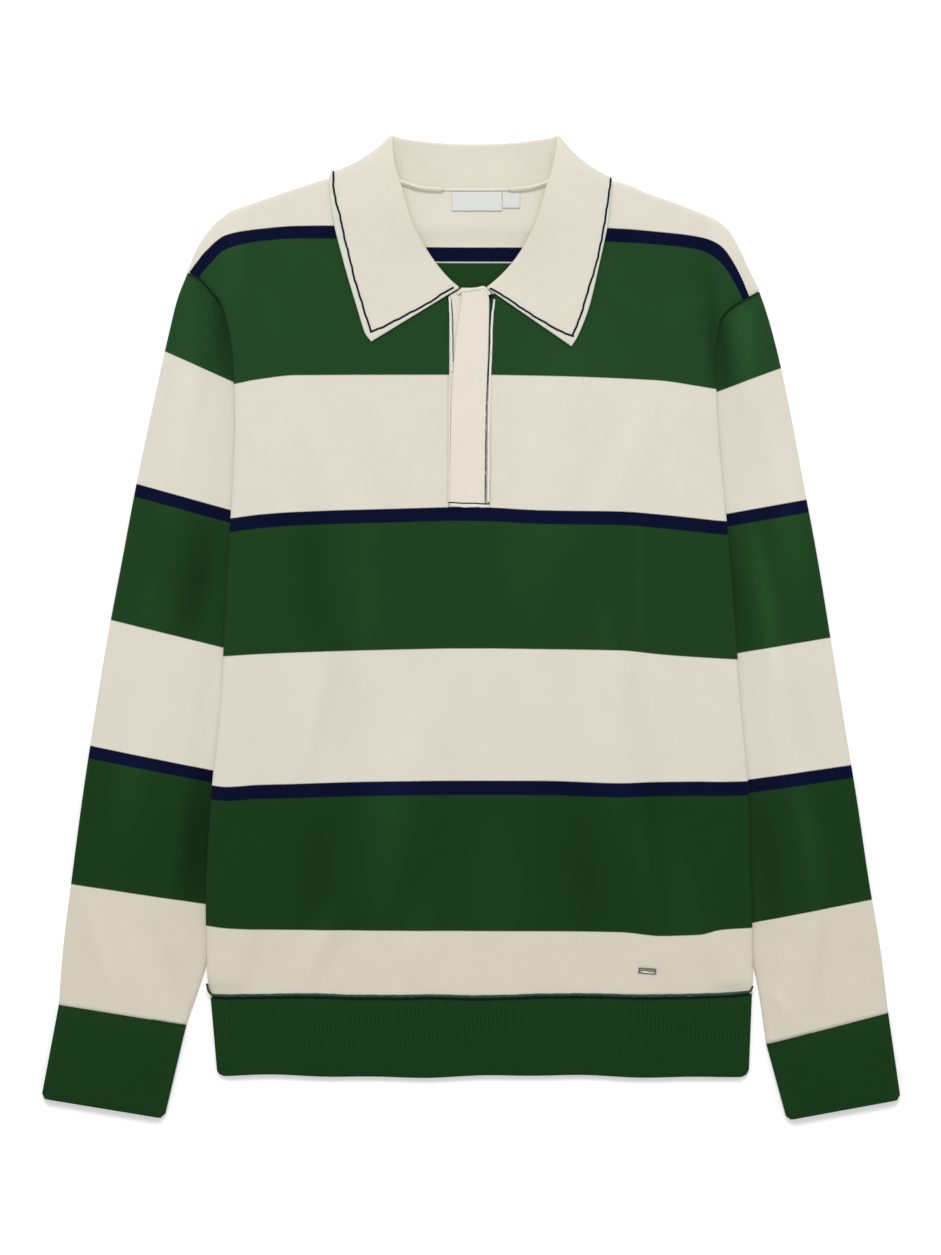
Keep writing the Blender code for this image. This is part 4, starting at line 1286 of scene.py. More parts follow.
@dataclass(frozen=True)
class CordLine:
    """A soft cord or piping along a route on a piece."""

    name: str
    route: tuple[Point, ...]
    radius: float = 0.9
    flatness: float = 0.7
    lift: float = 0.2
    wander: float = 0.1

    def build(
        self, under: Sequence[bpy.types.Object], tree: bpy.types.NodeTree, material: bpy.types.Material
    ) -> bpy.types.Object:
        """Lay the cord.

        Args:
            under: the pieces that it lies on.
            tree: the cord group.
            material: the yarn.

        Returns:
            The cord as one mesh.
        """
        line = even_route(self.route, 1.0, self.wander)
        obj = laid_route(self.name, line, under, self.lift)
        values = {"Radius": self.radius * MM, "Flatness": (1.0, self.flatness, 1.0), "Material": material}
        return grown(obj, tree, values)


LEFT_OUTER_LINE = path(
    (-107.0, 353.0), (-106.6, 341.8), (-104.6, 330.0), (-101.5, 317.9), (-97.7, 300.5),
    (-93.5, 283.1), (-89.7, 268.0), (-85.6, 254.5), (-81.8, 242.3), (-77.7, 230.0),
)
LEFT_LOWER_LINE = path(
    (-77.4, 229.0), (-70.0, 232.0), (-61.8, 236.3), (-49.1, 242.7), (-33.3, 251.4),
    (-22.2, 258.5), (-14.2, 263.2),
)
RIGHT_OUTER_LINE = path(
    (108.2, 347.6), (107.5, 340.2), (105.9, 328.0), (103.9, 316.4), (100.7, 297.4),
    (95.2, 275.1), (88.8, 254.5), (84.1, 238.7), (79.0, 227.0),
)
RIGHT_LOWER_LINE = path(
    (79.0, 225.9), (68.2, 230.0), (57.1, 236.3), (46.8, 242.7), (33.3, 251.4),
    (25.4, 257.0), (15.5, 262.5),
)
COLLAR_LINES = (
    StitchLine("collar_line_left_outer", LEFT_OUTER_LINE),
    StitchLine("collar_line_left_lower", LEFT_LOWER_LINE),
    StitchLine("collar_line_right_outer", RIGHT_OUTER_LINE),
    StitchLine("collar_line_right_lower", RIGHT_LOWER_LINE),
)
LEFT_PIPING = path(
    (-16.8, 256.5), (-16.3, 250.0), (-15.8, 240.0), (-15.5, 228.0), (-15.2, 214.0),
    (-14.8, 203.0), (-14.7, 198.5),
)
LEFT_EDGE = path((-16.9, 96.5), (-16.8, 130.0), (-16.7, 165.0), (-16.4, 196.0))
LEFT_DARK = path(
    (-15.9, 255.5), (-15.0, 250.0), (-14.4, 243.0), (-14.1, 234.0), (-14.0, 219.0),
    (-13.9, 207.0),
)
RIGHT_PIPING = path(
    (17.9, 254.5), (16.7, 243.0), (16.0, 231.0), (15.6, 215.0), (14.9, 197.0),
    (14.4, 180.0), (13.8, 150.0), (13.6, 120.0), (13.5, 97.0),
)
RIGHT_DARK = path(
    (16.9, 253.5), (15.5, 243.0), (14.7, 234.0), (14.3, 219.0), (13.4, 202.0),
    (12.6, 188.8),
)
RIGHT_DASHES = each(
    path,
    ((12.4, 186.5), (12.1, 176.0)),
    ((11.9, 172.0), (11.8, 168.0)),
    ((11.7, 163.0), (11.6, 158.5)),
    ((11.5, 153.0), (11.4, 134.0)),
    ((11.3, 131.0), (11.2, 122.0)),
    ((11.1, 118.0), (10.9, 99.0)),
)
BOTTOM_DARK = path((-16.7, 96.7), (-8.0, 96.2), (2.0, 96.1), (11.8, 95.6))
BOTTOM_FRAY = path((-14.9, 94.3), (-5.0, 94.0), (5.0, 94.1), (12.6, 93.9), (14.2, 93.6))
TOP_GATHER = path(
    (-10.5, 258.6), (-8.0, 260.2), (-1.0, 261.9), (5.0, 262.6), (9.7, 263.6),
    (12.6, 261.5), (14.6, 258.2),
)
PLACKET_LINES = (
    StitchLine(
        "placket_line_right", RIGHT_DARK, pitch=1.2, size=(1.8, 0.85, 0.6), lean=6.0, lift=0.5, wander=0.08
    ),
    StitchLine(
        "placket_line_bottom", BOTTOM_DARK, pitch=1.3, size=(1.9, 1.1, 0.7), lean=5.0, lift=0.1, wander=0.06
    ),
)
PLACKET_DASHES = tuple(
    StitchLine(f"placket_dash_{j}", dash, pitch=1.3, size=(1.7, 0.75, 0.5), lean=4.0, lift=0.3, wander=0.05)
    for j, dash in enumerate(RIGHT_DASHES)
)
LEFT_LINE = StitchLine(
    "placket_line_left", LEFT_DARK, pitch=1.3, size=(1.8, 0.8, 0.6), lean=3.0, lift=0.4, wander=0.05
)
FRAY_CORD = CordLine("placket_bottom_piping", BOTTOM_FRAY, radius=1.1, flatness=0.6, lift=0.1, wander=0.18)
GATHER_CORD = CordLine("placket_gather", TOP_GATHER, radius=1.3, flatness=0.6, lift=0.1, wander=0.12)
EDGE_CORD = CordLine("placket_left_edge", LEFT_EDGE, radius=0.8, flatness=0.7, lift=-0.1, wander=0.05)
RIGHT_CORD = CordLine("placket_right_piping", RIGHT_PIPING, radius=0.95, flatness=0.7, lift=0.1, wander=0.06)
LEFT_CORD = CordLine("placket_left_piping", LEFT_PIPING, radius=0.95, flatness=0.8, lift=0.5, wander=0.06)
HEM_CORD = path(
    (-204.8, -277.5), (-204.0, -282.0), (-201.0, -285.6), (-190.0, -286.2),
    (-170.0, -286.0), (-128.0, -285.4), (-86.0, -286.6), (-50.0, -286.6),
    (-32.0, -286.2), (0.0, -287.0), (30.0, -286.5), (54.0, -285.6), (92.0, -285.4),
    (131.0, -286.4), (170.0, -285.8), (194.0, -285.0), (209.0, -284.0),
    (216.5, -283.0), (218.3, -279.5),
)
NECK_SEAM = path(
    (-56.0, 346.6), (-38.0, 341.2), (-18.0, 339.9), (3.0, 339.8), (24.0, 339.9),
    (44.0, 341.2), (62.0, 346.6),
)
HEM_CHAIN = StitchLine(
    "hem_cord", HEM_CORD, pitch=1.6, size=(2.5, 2.2, 1.3), lean=38.0, lift=0.3, wander=0.08
)
HEM_DARK_DROP = 1.9
HEM_DARK = tuple(Point(point.x, point.y - HEM_DARK_DROP) for point in HEM_CORD[2:-1])
HEM_LINE = CordLine("hem_dark_line", HEM_DARK, radius=1.0, flatness=0.6, lift=0.2, wander=0.08)
NECK_CORD = CordLine("neck_seam", NECK_SEAM, radius=1.1, flatness=0.5, lift=0.6, wander=0.03)
CUFF_SEAM_INSET = 2.0


def cuff_seam(side: str, top: SleeveRow) -> StitchLine:
    """The upright stitches that join a cuff to its sleeve.

    Args:
        side: left or right, for the piece's name.
        top: the cuff's first section.

    Returns:
        The row of stitches from one fold to the other.
    """
    inset = math.copysign(CUFF_SEAM_INSET, top.outer_x)
    ends = path((top.outer_x - inset, top.outer_y), (top.inner_x + inset, top.inner_y))
    size = (0.85, 2.1, 0.9)
    return StitchLine(f"cuff_{side}_seam", ends, pitch=1.65, size=size, lean=0.0, lift=0.1, wander=0.0)


class SleeveLine(NamedTuple):
    """A line of knitting across a sleeve: where it meets the outer fold, and its slope down from there."""

    outer_x: float
    outer_y: float
    slope: float


LEFT_LINES = each(
    SleeveLine,
    (-320.4, -293.4, 9.2),
    (-308.5, -200.0, 8.6),
    (-296.0, -92.0, 11.5),
    (-278.0, 5.0, 13.9),
    (-259.0, 111.0, 15.5),
    (-238.0, 214.0, 24.0),
    (-220.0, 276.0, 38.0),
)
RIGHT_LINES = each(
    SleeveLine,
    (324.3, -299.7, 14.6),
    (311.8, -211.6, 11.2),
    (295.6, -107.0, 8.2),
    (278.5, -8.4, 9.6),
    (261.0, 99.0, 10.0),
    (240.6, 200.8, 20.2),
    (224.0, 261.0, 36.0),
)
# From the cuff up: painted-shade cream and green, the plain yarns, then the painted-light green at the top.
SLEEVE_YARNS = (Yarn.CREAM_PAINTED_SHADE, Yarn.GREEN_PAINTED_SHADE, Yarn.CREAM, Yarn.GREEN, Yarn.CREAM, Yarn.GREEN_PAINTED_LIGHT)
SLEEVE_NAVY = 10.0
NAVY_BELOW = (2, 4)


def between_lines(heights: Grid, values: Sequence[float], y: Grid) -> Grid:
    """Read a value that runs evenly between lines of known height.

    Args:
        heights: the height of each line at every place, the lowest line first.
        values: each line's value.
        y: the height to read at each place.

    Returns:
        The value there; beyond the first and last line it goes on at a slope of 1.
    """
    result = values[0] + y - heights[0]
    for i in range(len(values) - 1):
        share = (y - heights[i]) / (heights[i + 1] - heights[i])
        result = np.where(share > 0, values[i] + share * (values[i + 1] - values[i]), result)
    return np.where(y > heights[-1], values[-1] + y - heights[-1], result)


def body_weave(x: Grid, y: Grid) -> Weave:
    """The body's knitting at x, y: its courses bend as the stripes do."""
    heights = np.stack([line.middle_y + smooth(STRAY_X, line.strays, x) for line in BODY_LINES])
    return Weave(x, between_lines(heights, [line.middle_y for line in BODY_LINES], y))


def sleeve_weave(lines: Sequence[SleeveLine], x: Grid, y: Grid, along: Grid) -> Weave:
    """A sleeve's knitting: across is the distance from the outer fold, up follows the sleeve's lines."""
    heights = np.stack(
        [line.outer_y - math.tan(math.radians(line.slope)) * np.sign(line.outer_x) * (line.outer_x - x)
         for line in lines]
    )
    return Weave(along, between_lines(heights, [line.outer_y for line in lines], y))


def sleeve_stripes(lines: Sequence[SleeveLine]) -> tuple[Stripe, ...]:
    """The stripes between a sleeve's lines, with navy ones at the two lower edges of the broad cream."""
    stripes = [Stripe(line.outer_y, yarn) for line, yarn in zip(lines, SLEEVE_YARNS)]
    stripes += [Stripe(lines[j].outer_y - SLEEVE_NAVY, Yarn.NAVY) for j in NAVY_BELOW]
    return tuple(sorted(stripes, key=lambda stripe: stripe.start))


def fold_turns(steps: int) -> Grid:
    """Turns of a folded edge, from its outermost point to where the cloth lies flat."""
    return np.radians(np.linspace(0.0, 90.0, steps + 1))


@dataclass(frozen=True)
class BodyPanels:
    """The front and back: two layers folded over at the sides and shoulders."""

    fold_steps: int = 7
    half_steps: int = 58
    row_step: float = 3.2
    centre_steps: int = 24
    neck_spread: tuple[float, float] = (240.0, 330.0)
    neck_dip_y: float = 290.0
    neck_dip: float = 10.0
    neck_flatness: int = 5

    def row_heights(self) -> Grid:
        """Middle heights of the rows, with one at the slot's end, and close together at the fold."""
        top = BODY_ROWS[-1].middle_y
        fold = FOLD_RUN * (1 - np.cos(fold_turns(self.fold_steps)[::-1]))
        low, high = HEM_Y + GAP / 2, top - FOLD_RUN
        below = np.linspace(low, SLOT_END_Y, round((SLOT_END_Y - low) / self.row_step) + 1)
        above = np.linspace(SLOT_END_Y, high, round((high - SLOT_END_Y) / self.row_step) + 1)
        return np.concatenate((below, above[1:-1], top - fold))

    def half(self, ends: Grid, inner_x: Grid, middle_y: Grid, rises: int) -> Grid:
        """Grid from a side edge to the neckline or slot.

        Args:
            ends: each row's point at the side edge.
            inner_x: each row's end at the neckline or slot.
            middle_y: each row's height at the centre.
            rises: the shoulder line's column for this side.

        Returns:
            The x and y of each point.
        """
        line = np.array(SHOULDER_LINE)
        near = FOLD_RUN * (1 - np.cos(fold_turns(self.fold_steps))) / BODY_HALF_WIDTH
        shares = np.concatenate((near, np.linspace(near[-1], 1.0, self.half_steps + 1)[1:]))
        lift = smooth(line[:, 0], line[:, rises], shares)
        x = ends[:, :1] + (inner_x[:, None] - ends[:, :1]) * shares
        y = ends[:, 1:] + (middle_y[:, None] - ends[:, 1:]) * lift
        return np.stack((x, y), axis=2)

    def grid(self) -> tuple[Grid, Grid]:
        """Both halves side by side, and the rows' middle heights."""
        middle_y = self.row_heights()
        rows, neck = np.array(BODY_ROWS), np.array(FRONT_NECK)
        ends = smooth(rows[:, 0], rows[:, 1:], middle_y)
        inner = smooth(neck[:, 0], neck[:, 1:], middle_y)
        left = self.half(ends[:, :2], inner[:, 0], middle_y, 1)
        right = self.half(ends[:, 2:], inner[:, 1], middle_y, 2)[:, ::-1]
        return np.concatenate((left, right), axis=1), middle_y

    def reach(self, grid: Grid, line: Grid, side: float) -> tuple[Grid, Grid]:
        """How far each point is from one folded edge.

        Args:
            grid: the x and y of each point.
            line: the edge's points in order.
            side: 1 where the body lies to the right of the edge's direction, and -1 to its left.

        Returns:
            The distances, and the level way in from the edge at each point.
        """
        flat = grid.reshape(-1, 2)
        nearest = np.full(len(flat), np.inf)
        ways = np.zeros_like(flat)
        for start, end in zip(line[:-1], line[1:]):
            run = end - start
            share = np.clip((flat - start) @ run / (run @ run), 0.0, 1.0)
            gap = np.linalg.norm(flat - start - share[:, None] * run, axis=1)
            closer = gap < nearest
            nearest[closer] = gap[closer]
            ways[closer] = side * np.array((run[1], -run[0])) / np.linalg.norm(run)
        return nearest.reshape(grid.shape[:2]), ways.reshape(grid.shape)

    def skins(self, grid: Grid, half: int, upper: bool) -> tuple[Grid, Grid]:
        """The outside and inside of a panel.

        Args:
            grid: the x and y of each point.
            half: how many columns lie on each side of the neck.
            upper: whether this is the front panel, which lies uppermost.

        Returns:
            The points of the outside and of the inside.
        """
        left_edges = ((grid[:, 0], 1.0), (grid[-1, :half], 1.0))
        right_edges = ((grid[:, -1], -1.0), (grid[-1, ::-1][:half], -1.0))
        reaches = [self.reach(grid, line, side) for line, side in left_edges + right_edges]
        shares = [np.clip(gap / FOLD_RUN, 0.0, 1.0) for gap, _ in reaches]
        round_off = np.sqrt(1 - (1 - np.minimum.reduce(shares)) ** 2)
        low, high = LAY.back(grid[..., 0], grid[..., 1]), LAY.front(grid[..., 0], grid[..., 1])
        seam = (low + high) / 2 + (GAP / 2 if upper else -GAP / 2)
        outside, inside = (high, high - WALL) if upper else (low, low + WALL)
        pushes = [WALL * (1 - share)[..., None] * way for share, (_, way) in zip(shares, reaches)]
        outer = np.dstack((grid, seam + (outside - seam) * round_off))
        inner = np.dstack((grid + sum(pushes), seam + (inside - seam) * round_off))
        return outer, inner

    def front(self) -> bpy.types.Object:
        """Build the front, its two halves parted at the slot and the neckline."""
        grid, middle_y = self.grid()
        half = grid.shape[1] // 2
        outer, inner = self.skins(grid, half, upper=True)
        keep = np.ones((grid.shape[0] - 1, grid.shape[1] - 1), bool)
        keep[middle_y[:-1] >= SLOT_END_Y - GAP, half - 1] = False
        weave = body_weave(grid[..., 0], grid[..., 1])
        return Shell("front_cloth", outer, inner, weave, keep=keep).build()

    def back(self) -> bpy.types.Object:
        """Build the back, with its shallow neckline."""
        grid, middle_y = self.grid()
        half = grid.shape[1] // 2
        spread = eased(middle_y, *self.neck_spread)
        left, right = grid[:, :half].copy(), grid[:, half:].copy()
        neck = FRONT_NECK[-1]
        ends = []
        for part, edge, end, wide in ((left, 0, -1, neck.left_x), (right, -1, 0, neck.right_x)):
            start, stop = part[:, edge, 0].copy(), part[:, end, 0].copy()
            new_stop = stop + (wide - stop) * spread
            widening = (new_stop - start) / (stop - start)
            part[..., 0] = start[:, None] + (part[..., 0] - start[:, None]) * widening[:, None]
            ends.append(new_stop)
        share = np.linspace(0.0, 1.0, self.centre_steps + 1)[1:-1]
        dip = self.neck_dip * eased(middle_y, self.neck_dip_y, neck.y)
        x = ends[0][:, None] + (ends[1] - ends[0])[:, None] * share
        y = middle_y[:, None] - dip[:, None] * (1 - np.abs(2 * share - 1) ** self.neck_flatness)
        grid = np.concatenate((left, np.stack((x, y), axis=2), right), axis=1)
        outer, inner = self.skins(grid, half, upper=False)
        return Shell("back_cloth", outer, inner, body_weave(grid[..., 0], grid[..., 1])).build()


@dataclass(frozen=True)
class Tube:
    """Points round a flattened tube: over the top from the outer fold, and back underneath."""

    fold_steps: int
    top_steps: int
    bottom_steps: int

    def distances(self, length: float, inset: float) -> tuple[Grid, Grid]:
        """Distances from the outer fold along the top, then along the bottom.

        Args:
            length: the section's length.
            inset: how far the whole section is moved inwards.

        Returns:
            The distances, and each one's share of the full height there: positive on the top.
        """
        turns = fold_turns(self.fold_steps)
        near = inset + (FOLD_RUN - inset) * (1 - np.cos(turns))
        top = np.linspace(FOLD_RUN, length - FOLD_RUN, self.top_steps + 1)
        bottom = np.linspace(length - FOLD_RUN, FOLD_RUN, self.bottom_steps + 1)
        over = (near[:-1], top, length - near[-2::-1])
        under = (length - near[1:-1], bottom, near[-2:0:-1])
        climb = np.concatenate((np.sin(turns[:-1]), np.ones(len(top)), np.sin(turns[-2::-1])))
        drop = np.concatenate((np.sin(turns[1:-1]), np.ones(len(bottom)), np.sin(turns[-2:0:-1])))
        return np.concatenate(over + under), np.concatenate((climb, -drop))

    def ring(self, row: Grid, rise: Rise, inset: float) -> tuple[Grid, Grid]:
        """One ring of points, and each one's distance from the outer fold."""
        length = math.hypot(row[2] - row[0], row[3] - row[1])
        along, share = self.distances(length, inset)
        at = section_points(row, along)
        high = rise(at[:, 0], at[:, 1])
        return np.column_stack((at, high / 2 + (high / 2 - inset) * share)), along


def pulled_back(row: Grid, towards: Grid, distance: float) -> Grid:
    """A section moved along its two edges towards another one."""
    row = row.copy()
    for ends in (slice(0, 2), slice(2, 4)):
        way = towards[ends] - row[ends]
        row[ends] += distance * way / np.linalg.norm(way)
    return row


@dataclass(frozen=True)
class Sleeve:
    """A sleeve: a flattened tube from the armhole to the cuff."""

    name: str
    table: tuple[SleeveRow, ...]
    lines: tuple[SleeveLine, ...]
    tube: Tube = Tube(7, 56, 20)
    spans: int = 176

    def build(self) -> bpy.types.Object:
        """Build the sleeve with its stripes' field."""
        rows = np.array(self.table)
        stations = np.arange(len(rows), dtype=float)
        sections = smooth(stations, rows, np.linspace(0.0, stations[-1], self.spans + 1))
        sections[-1] = pulled_back(sections[-1], sections[-2], GAP / 2)
        outer, along = zip(*(self.tube.ring(row, LAY.sleeve, 0.0) for row in sections))
        inner, _ = zip(*(self.tube.ring(row, LAY.sleeve, WALL) for row in sections))
        outer = np.array(outer)
        weave = sleeve_weave(self.lines, outer[..., 0], outer[..., 1], np.array(along))
        return Shell(self.name, outer, np.array(inner), weave, closed=True).build()


class LiftPoint(NamedTuple):
    """How far the waistband's upper edge rises at one place across."""

    x: float
    rise: float


HEM_WAVES = (Wave(0.9, 34.0, 0.0), Wave(0.5, 13.0, 1.0))
WAIST_TOP = each(
    LiftPoint,
    (-204.0, 0.3),
    (-150.0, 0.5),
    (0.0, 0.0),
    (120.0, 0.3),
    (180.0, 1.0),
    (219.0, 3.2),
)


@dataclass(frozen=True)
class RibBand:
    """A band of rib knitting: a smooth flattened tube that a node tree ribs all round."""

    name: str
    sections: tuple[tuple[float, ...], ...]
    rise: Rise
    waves: tuple[Wave, ...] = ()
    top_lift: tuple[LiftPoint, ...] = ()
    pitch: float = 2.1
    columns: int = 6
    rows_between: int = 5
    plain_end: float = 0.03
    fold_steps: int = 6
    depth: float = 0.6
    sharpness: float = 0.7

    def build(self) -> bpy.types.Object:
        """Build the smooth band, with the place of each point among the ribs as an attribute."""
        coarse = np.array(self.sections, float)
        stations = np.arange(len(coarse), dtype=float)
        stops = np.linspace(0.0, stations[-1], (len(coarse) - 1) * self.rows_between + 1)
        rows = np.stack([np.interp(stops, stations, column) for column in coarse.T], axis=1)
        length = math.hypot(*(coarse[0, 2:4] - coarse[0, :2])) - 2 * FOLD_RUN
        ribs = round(length / self.pitch)
        tube = Tube(self.fold_steps, ribs * self.columns, ribs * self.columns)
        outer, along = zip(*(tube.ring(row, self.rise, 0.0) for row in rows))
        inner, _ = zip(*(tube.ring(row, self.rise, BAND_WALL) for row in rows))
        outer, inner, along = np.array(outer), np.array(inner), np.array(along)
        down = stops / stations[-1]
        if self.top_lift:
            lift = np.array(self.top_lift)
            for skin in (outer, inner):
                skin[..., 1] += smooth(lift[:, 0], lift[:, 1], skin[..., 0]) * (1 - down[:, None]) ** 3
        for wave in self.waves:
            for skin in (outer, inner):
                stray = wave.height * np.sin(skin[..., 0] / wave.length + wave.start)
                skin[..., 1] += stray * down[:, None] ** 2
        obj = Shell(self.name, outer, inner, Weave(along, outer[..., 1]), closed=True).build()
        span = np.ptp(along, axis=1)[:, None] - 2 * FOLD_RUN
        phase = (along - FOLD_RUN) / span * ribs
        mask = eased(down, 0.0, self.plain_end) * eased(1 - down, 0.0, self.plain_end)
        write_points(obj, "rib_phase", np.concatenate((phase.reshape(-1), phase.reshape(-1))))
        depth = np.repeat(mask[:, None], along.shape[1], axis=1).reshape(-1)
        write_points(obj, "rib_mask", np.concatenate((depth, np.zeros_like(depth))))
        return obj


def write_points(obj: bpy.types.Object, name: str, values: Grid) -> None:
    """Store one number for each point of a mesh."""
    layer = obj.data.attributes.new(name, "FLOAT", "POINT")
    layer.data.foreach_set("value", np.asarray(values, np.float32))


def write_folds(obj: bpy.types.Object, folds: Sequence[Fold]) -> bpy.types.Object:
    """Store how high the creases stand at each point of a piece.

    Args:
        obj: the piece.
        folds: its creases.

    Returns:
        The same piece.
    """
    # The jersey paints shade and light into its colour from these heights.
    places = np.array([vert.co[:2] for vert in obj.data.vertices]) / MM + MIDDLE
    write_points(obj, "fold", fold_height(folds, places[:, 0], places[:, 1]))
    return obj


def hem_sections() -> tuple[tuple[float, ...], ...]:
    """The waistband's sections, from side to side."""
    return tuple((row.left_x, row.y, row.right_x, row.y, 0.0) for row in WAISTBAND)


class CuffStep(NamedTuple):
    """How far in a cuff's corners lie at a share of its depth."""

    share: float
    corner: float


CUFF_STEPS = (CuffStep(0.0, 0.0), CuffStep(0.95, 0.0), CuffStep(1.0, 2.6))


def cuff_sections(table: Sequence[SleeveRow]) -> tuple[tuple[float, ...], ...]:
    """A cuff's sections, with its two corners rounded."""
    top, end = (np.array(row) for row in table)
    sections = []
    for step in CUFF_STEPS:
        row = top + (end - top) * step.share
        across = (row[2:4] - row[:2]) / np.linalg.norm(row[2:4] - row[:2])
        row[:2] += step.corner * across
        row[2:4] -= step.corner * across
        sections.append(row)
    sections[0] = pulled_back(top, end, GAP / 2)
    return tuple(tuple(row) for row in sections)


def rounded(distance: Grid, half: float, least: float = 0.25) -> Grid:
    """Share of a wall's thickness near its free edge, at a distance from that edge."""
    return np.maximum(np.sqrt(1 - (1 - np.clip(distance / half, 0.0, 1.0)) ** 2), least)


def normals(skin: Grid) -> Grid:
    """Unit normals of a grid of points, pointing up where the grid lies flat."""
    normal = np.cross(np.gradient(skin, axis=1), np.gradient(skin, axis=0))
    return normal / np.linalg.norm(normal, axis=2, keepdims=True)


@dataclass(frozen=True)
class Collar:
    """A stand and a leaf in one strip of cloth, rolled over all round the neck."""

    roll_outward: tuple[float, float] = (0.5, 0.866)
    roll_run: float = 1.2
    leaf_lift: float = 0.8
    leaf_shares: tuple[float, ...] = (0.0, 0.2, 0.42, 0.64, 0.84, 1.0)
    leaf_sag: float = 3.6
    peak_press: float = 0.5
    row_steps: int = 8
    column_steps: int = 7
    end_steps: tuple[float, ...] = (0.004, 0.02, 0.05)

    def section(self, row: CollarRow, side: float) -> list[Grid]:
        """Middle of the wall through one section.

        Args:
            row: the section's table row.
            side: -1 to the left of the neck, 1 to its right and 0 at the back.

        Returns:
            Points from the neck seam over the roll to the free edge.
        """
        turn = math.radians(row.turn)
        outward = np.array((side * self.roll_outward[0], self.roll_outward[1], 0.0))
        stack = outward * math.cos(turn) + np.array((0.0, 0.0, math.sin(turn)))
        seam = np.array((row.seam_x, row.seam_y, 0.0))
        roll = np.array((row.roll_x, row.roll_y, 0.0))
        edge = np.array((row.edge_x, row.edge_y, 0.0))
        front_share = (1 + math.sin(turn)) / 2
        half = BAND_WALL / 2
        behind = BAND_WALL + GAP + half
        before = float(LAY.front(seam[0], seam[1])) - half
        lay = BAND_WALL + GAP
        low_edge, high_edge = half, float(LAY.front(edge[0], edge[1])) + self.leaf_lift + half
        edge += outward * math.cos(turn) * (high_edge - low_edge) / 2
        edge[2] = low_edge + (high_edge - low_edge) * front_share
        seam[2] = roll[2] = behind + (before - behind) * front_share
        inward = (seam - roll) / np.linalg.norm(seam - roll)
        fall = roll + stack * lay
        leaf_way = (edge - fall) / np.linalg.norm(edge - fall)
        seam = seam - GAP * inward
        points = [seam, (seam + roll) / 2, roll + inward * self.roll_run, roll + stack * lay / 2]
        start = fall + leaf_way * self.roll_run
        for share in self.leaf_shares:
            sag = self.leaf_sag * math.cos(turn) * 4 * share * (1 - share)
            point = start + (edge - start) * share - outward * sag
            if row.turn == 90.0:
                point[2] = max(point[2], float(LAY.front(point[0], point[1])) + self.leaf_lift + half)
            points.append(point)
        return points

    def middle(self) -> tuple[Grid, Grid]:
        """Fine grid of the wall's middle, and each row's turn."""
        rows = LEFT_COLLAR + (CENTRE_COLLAR,) + RIGHT_COLLAR
        sides = [-1.0] * len(LEFT_COLLAR) + [0.0] + [1.0] * len(RIGHT_COLLAR)
        coarse = np.array([self.section(row, side) for row, side in zip(rows, sides)])
        turns = np.array([row.turn for row in rows])
        down = np.arange(coarse.shape[0], dtype=float)
        across = np.arange(coarse.shape[1], dtype=float)
        fine_down = self.spread(down, self.row_steps)
        fine_across = self.spread(across, self.column_steps)
        rows_fine = smooth(down, coarse.reshape(len(down), -1), fine_down)
        rows_fine = rows_fine.reshape(len(fine_down), len(across), 3)
        swapped = rows_fine.transpose(1, 0, 2).reshape(len(across), -1)
        grid = smooth(across, swapped, fine_across).reshape(len(fine_across), len(fine_down), 3)
        return grid.transpose(1, 0, 2), smooth(down, turns, fine_down)

    def spread(self, stations: Grid, steps: int) -> Grid:
        """Even places between stations, with a few more close to both ends."""
        even = np.linspace(stations[0], stations[-1], (len(stations) - 1) * steps + 1)
        near = np.array(self.end_steps)
        return np.sort(np.concatenate((even, even[0] + near, even[-1] - near)))

    def build(self) -> bpy.types.Object:
        """Build the collar, with how far each point of the leaf is from its free edges."""
        middle, turns = self.middle()
        pressed = 1 - self.peak_press * np.cos(np.radians(turns))
        steps = np.linalg.norm(np.diff(middle, axis=1), axis=2)
        from_edge = np.cumsum(steps[:, ::-1], axis=1)[:, ::-1]
        from_edge = np.concatenate((from_edge, np.zeros((len(middle), 1))), axis=1)
        from_seam = from_edge[:, :1] - from_edge
        from_front = np.minimum(self.run_down(middle), self.run_down(middle[::-1])[::-1])
        free = np.minimum(from_edge, from_front)
        half = BAND_WALL / 2 * pressed[:, None] * rounded(free, BAND_WALL / 2)
        out = normals(middle) * half[..., None]
        run = np.linalg.norm(np.diff(middle[:, -1], axis=0), axis=1)
        around = np.concatenate(((0.0,), np.cumsum(run)))
        weave = Weave(np.repeat(around[:, None], middle.shape[1], axis=1), from_seam)
        obj = Shell("collar_cloth", middle + out, middle - out, weave).build()
        write_points(obj, "free_edge", np.concatenate((free.reshape(-1), free.reshape(-1))))
        return obj

    def run_down(self, middle: Grid) -> Grid:
        """Distance of each point from the first row, along its column."""
        steps = np.linalg.norm(np.diff(middle, axis=0), axis=2)
        return np.concatenate((np.zeros((1, middle.shape[1])), np.cumsum(steps, axis=0)))


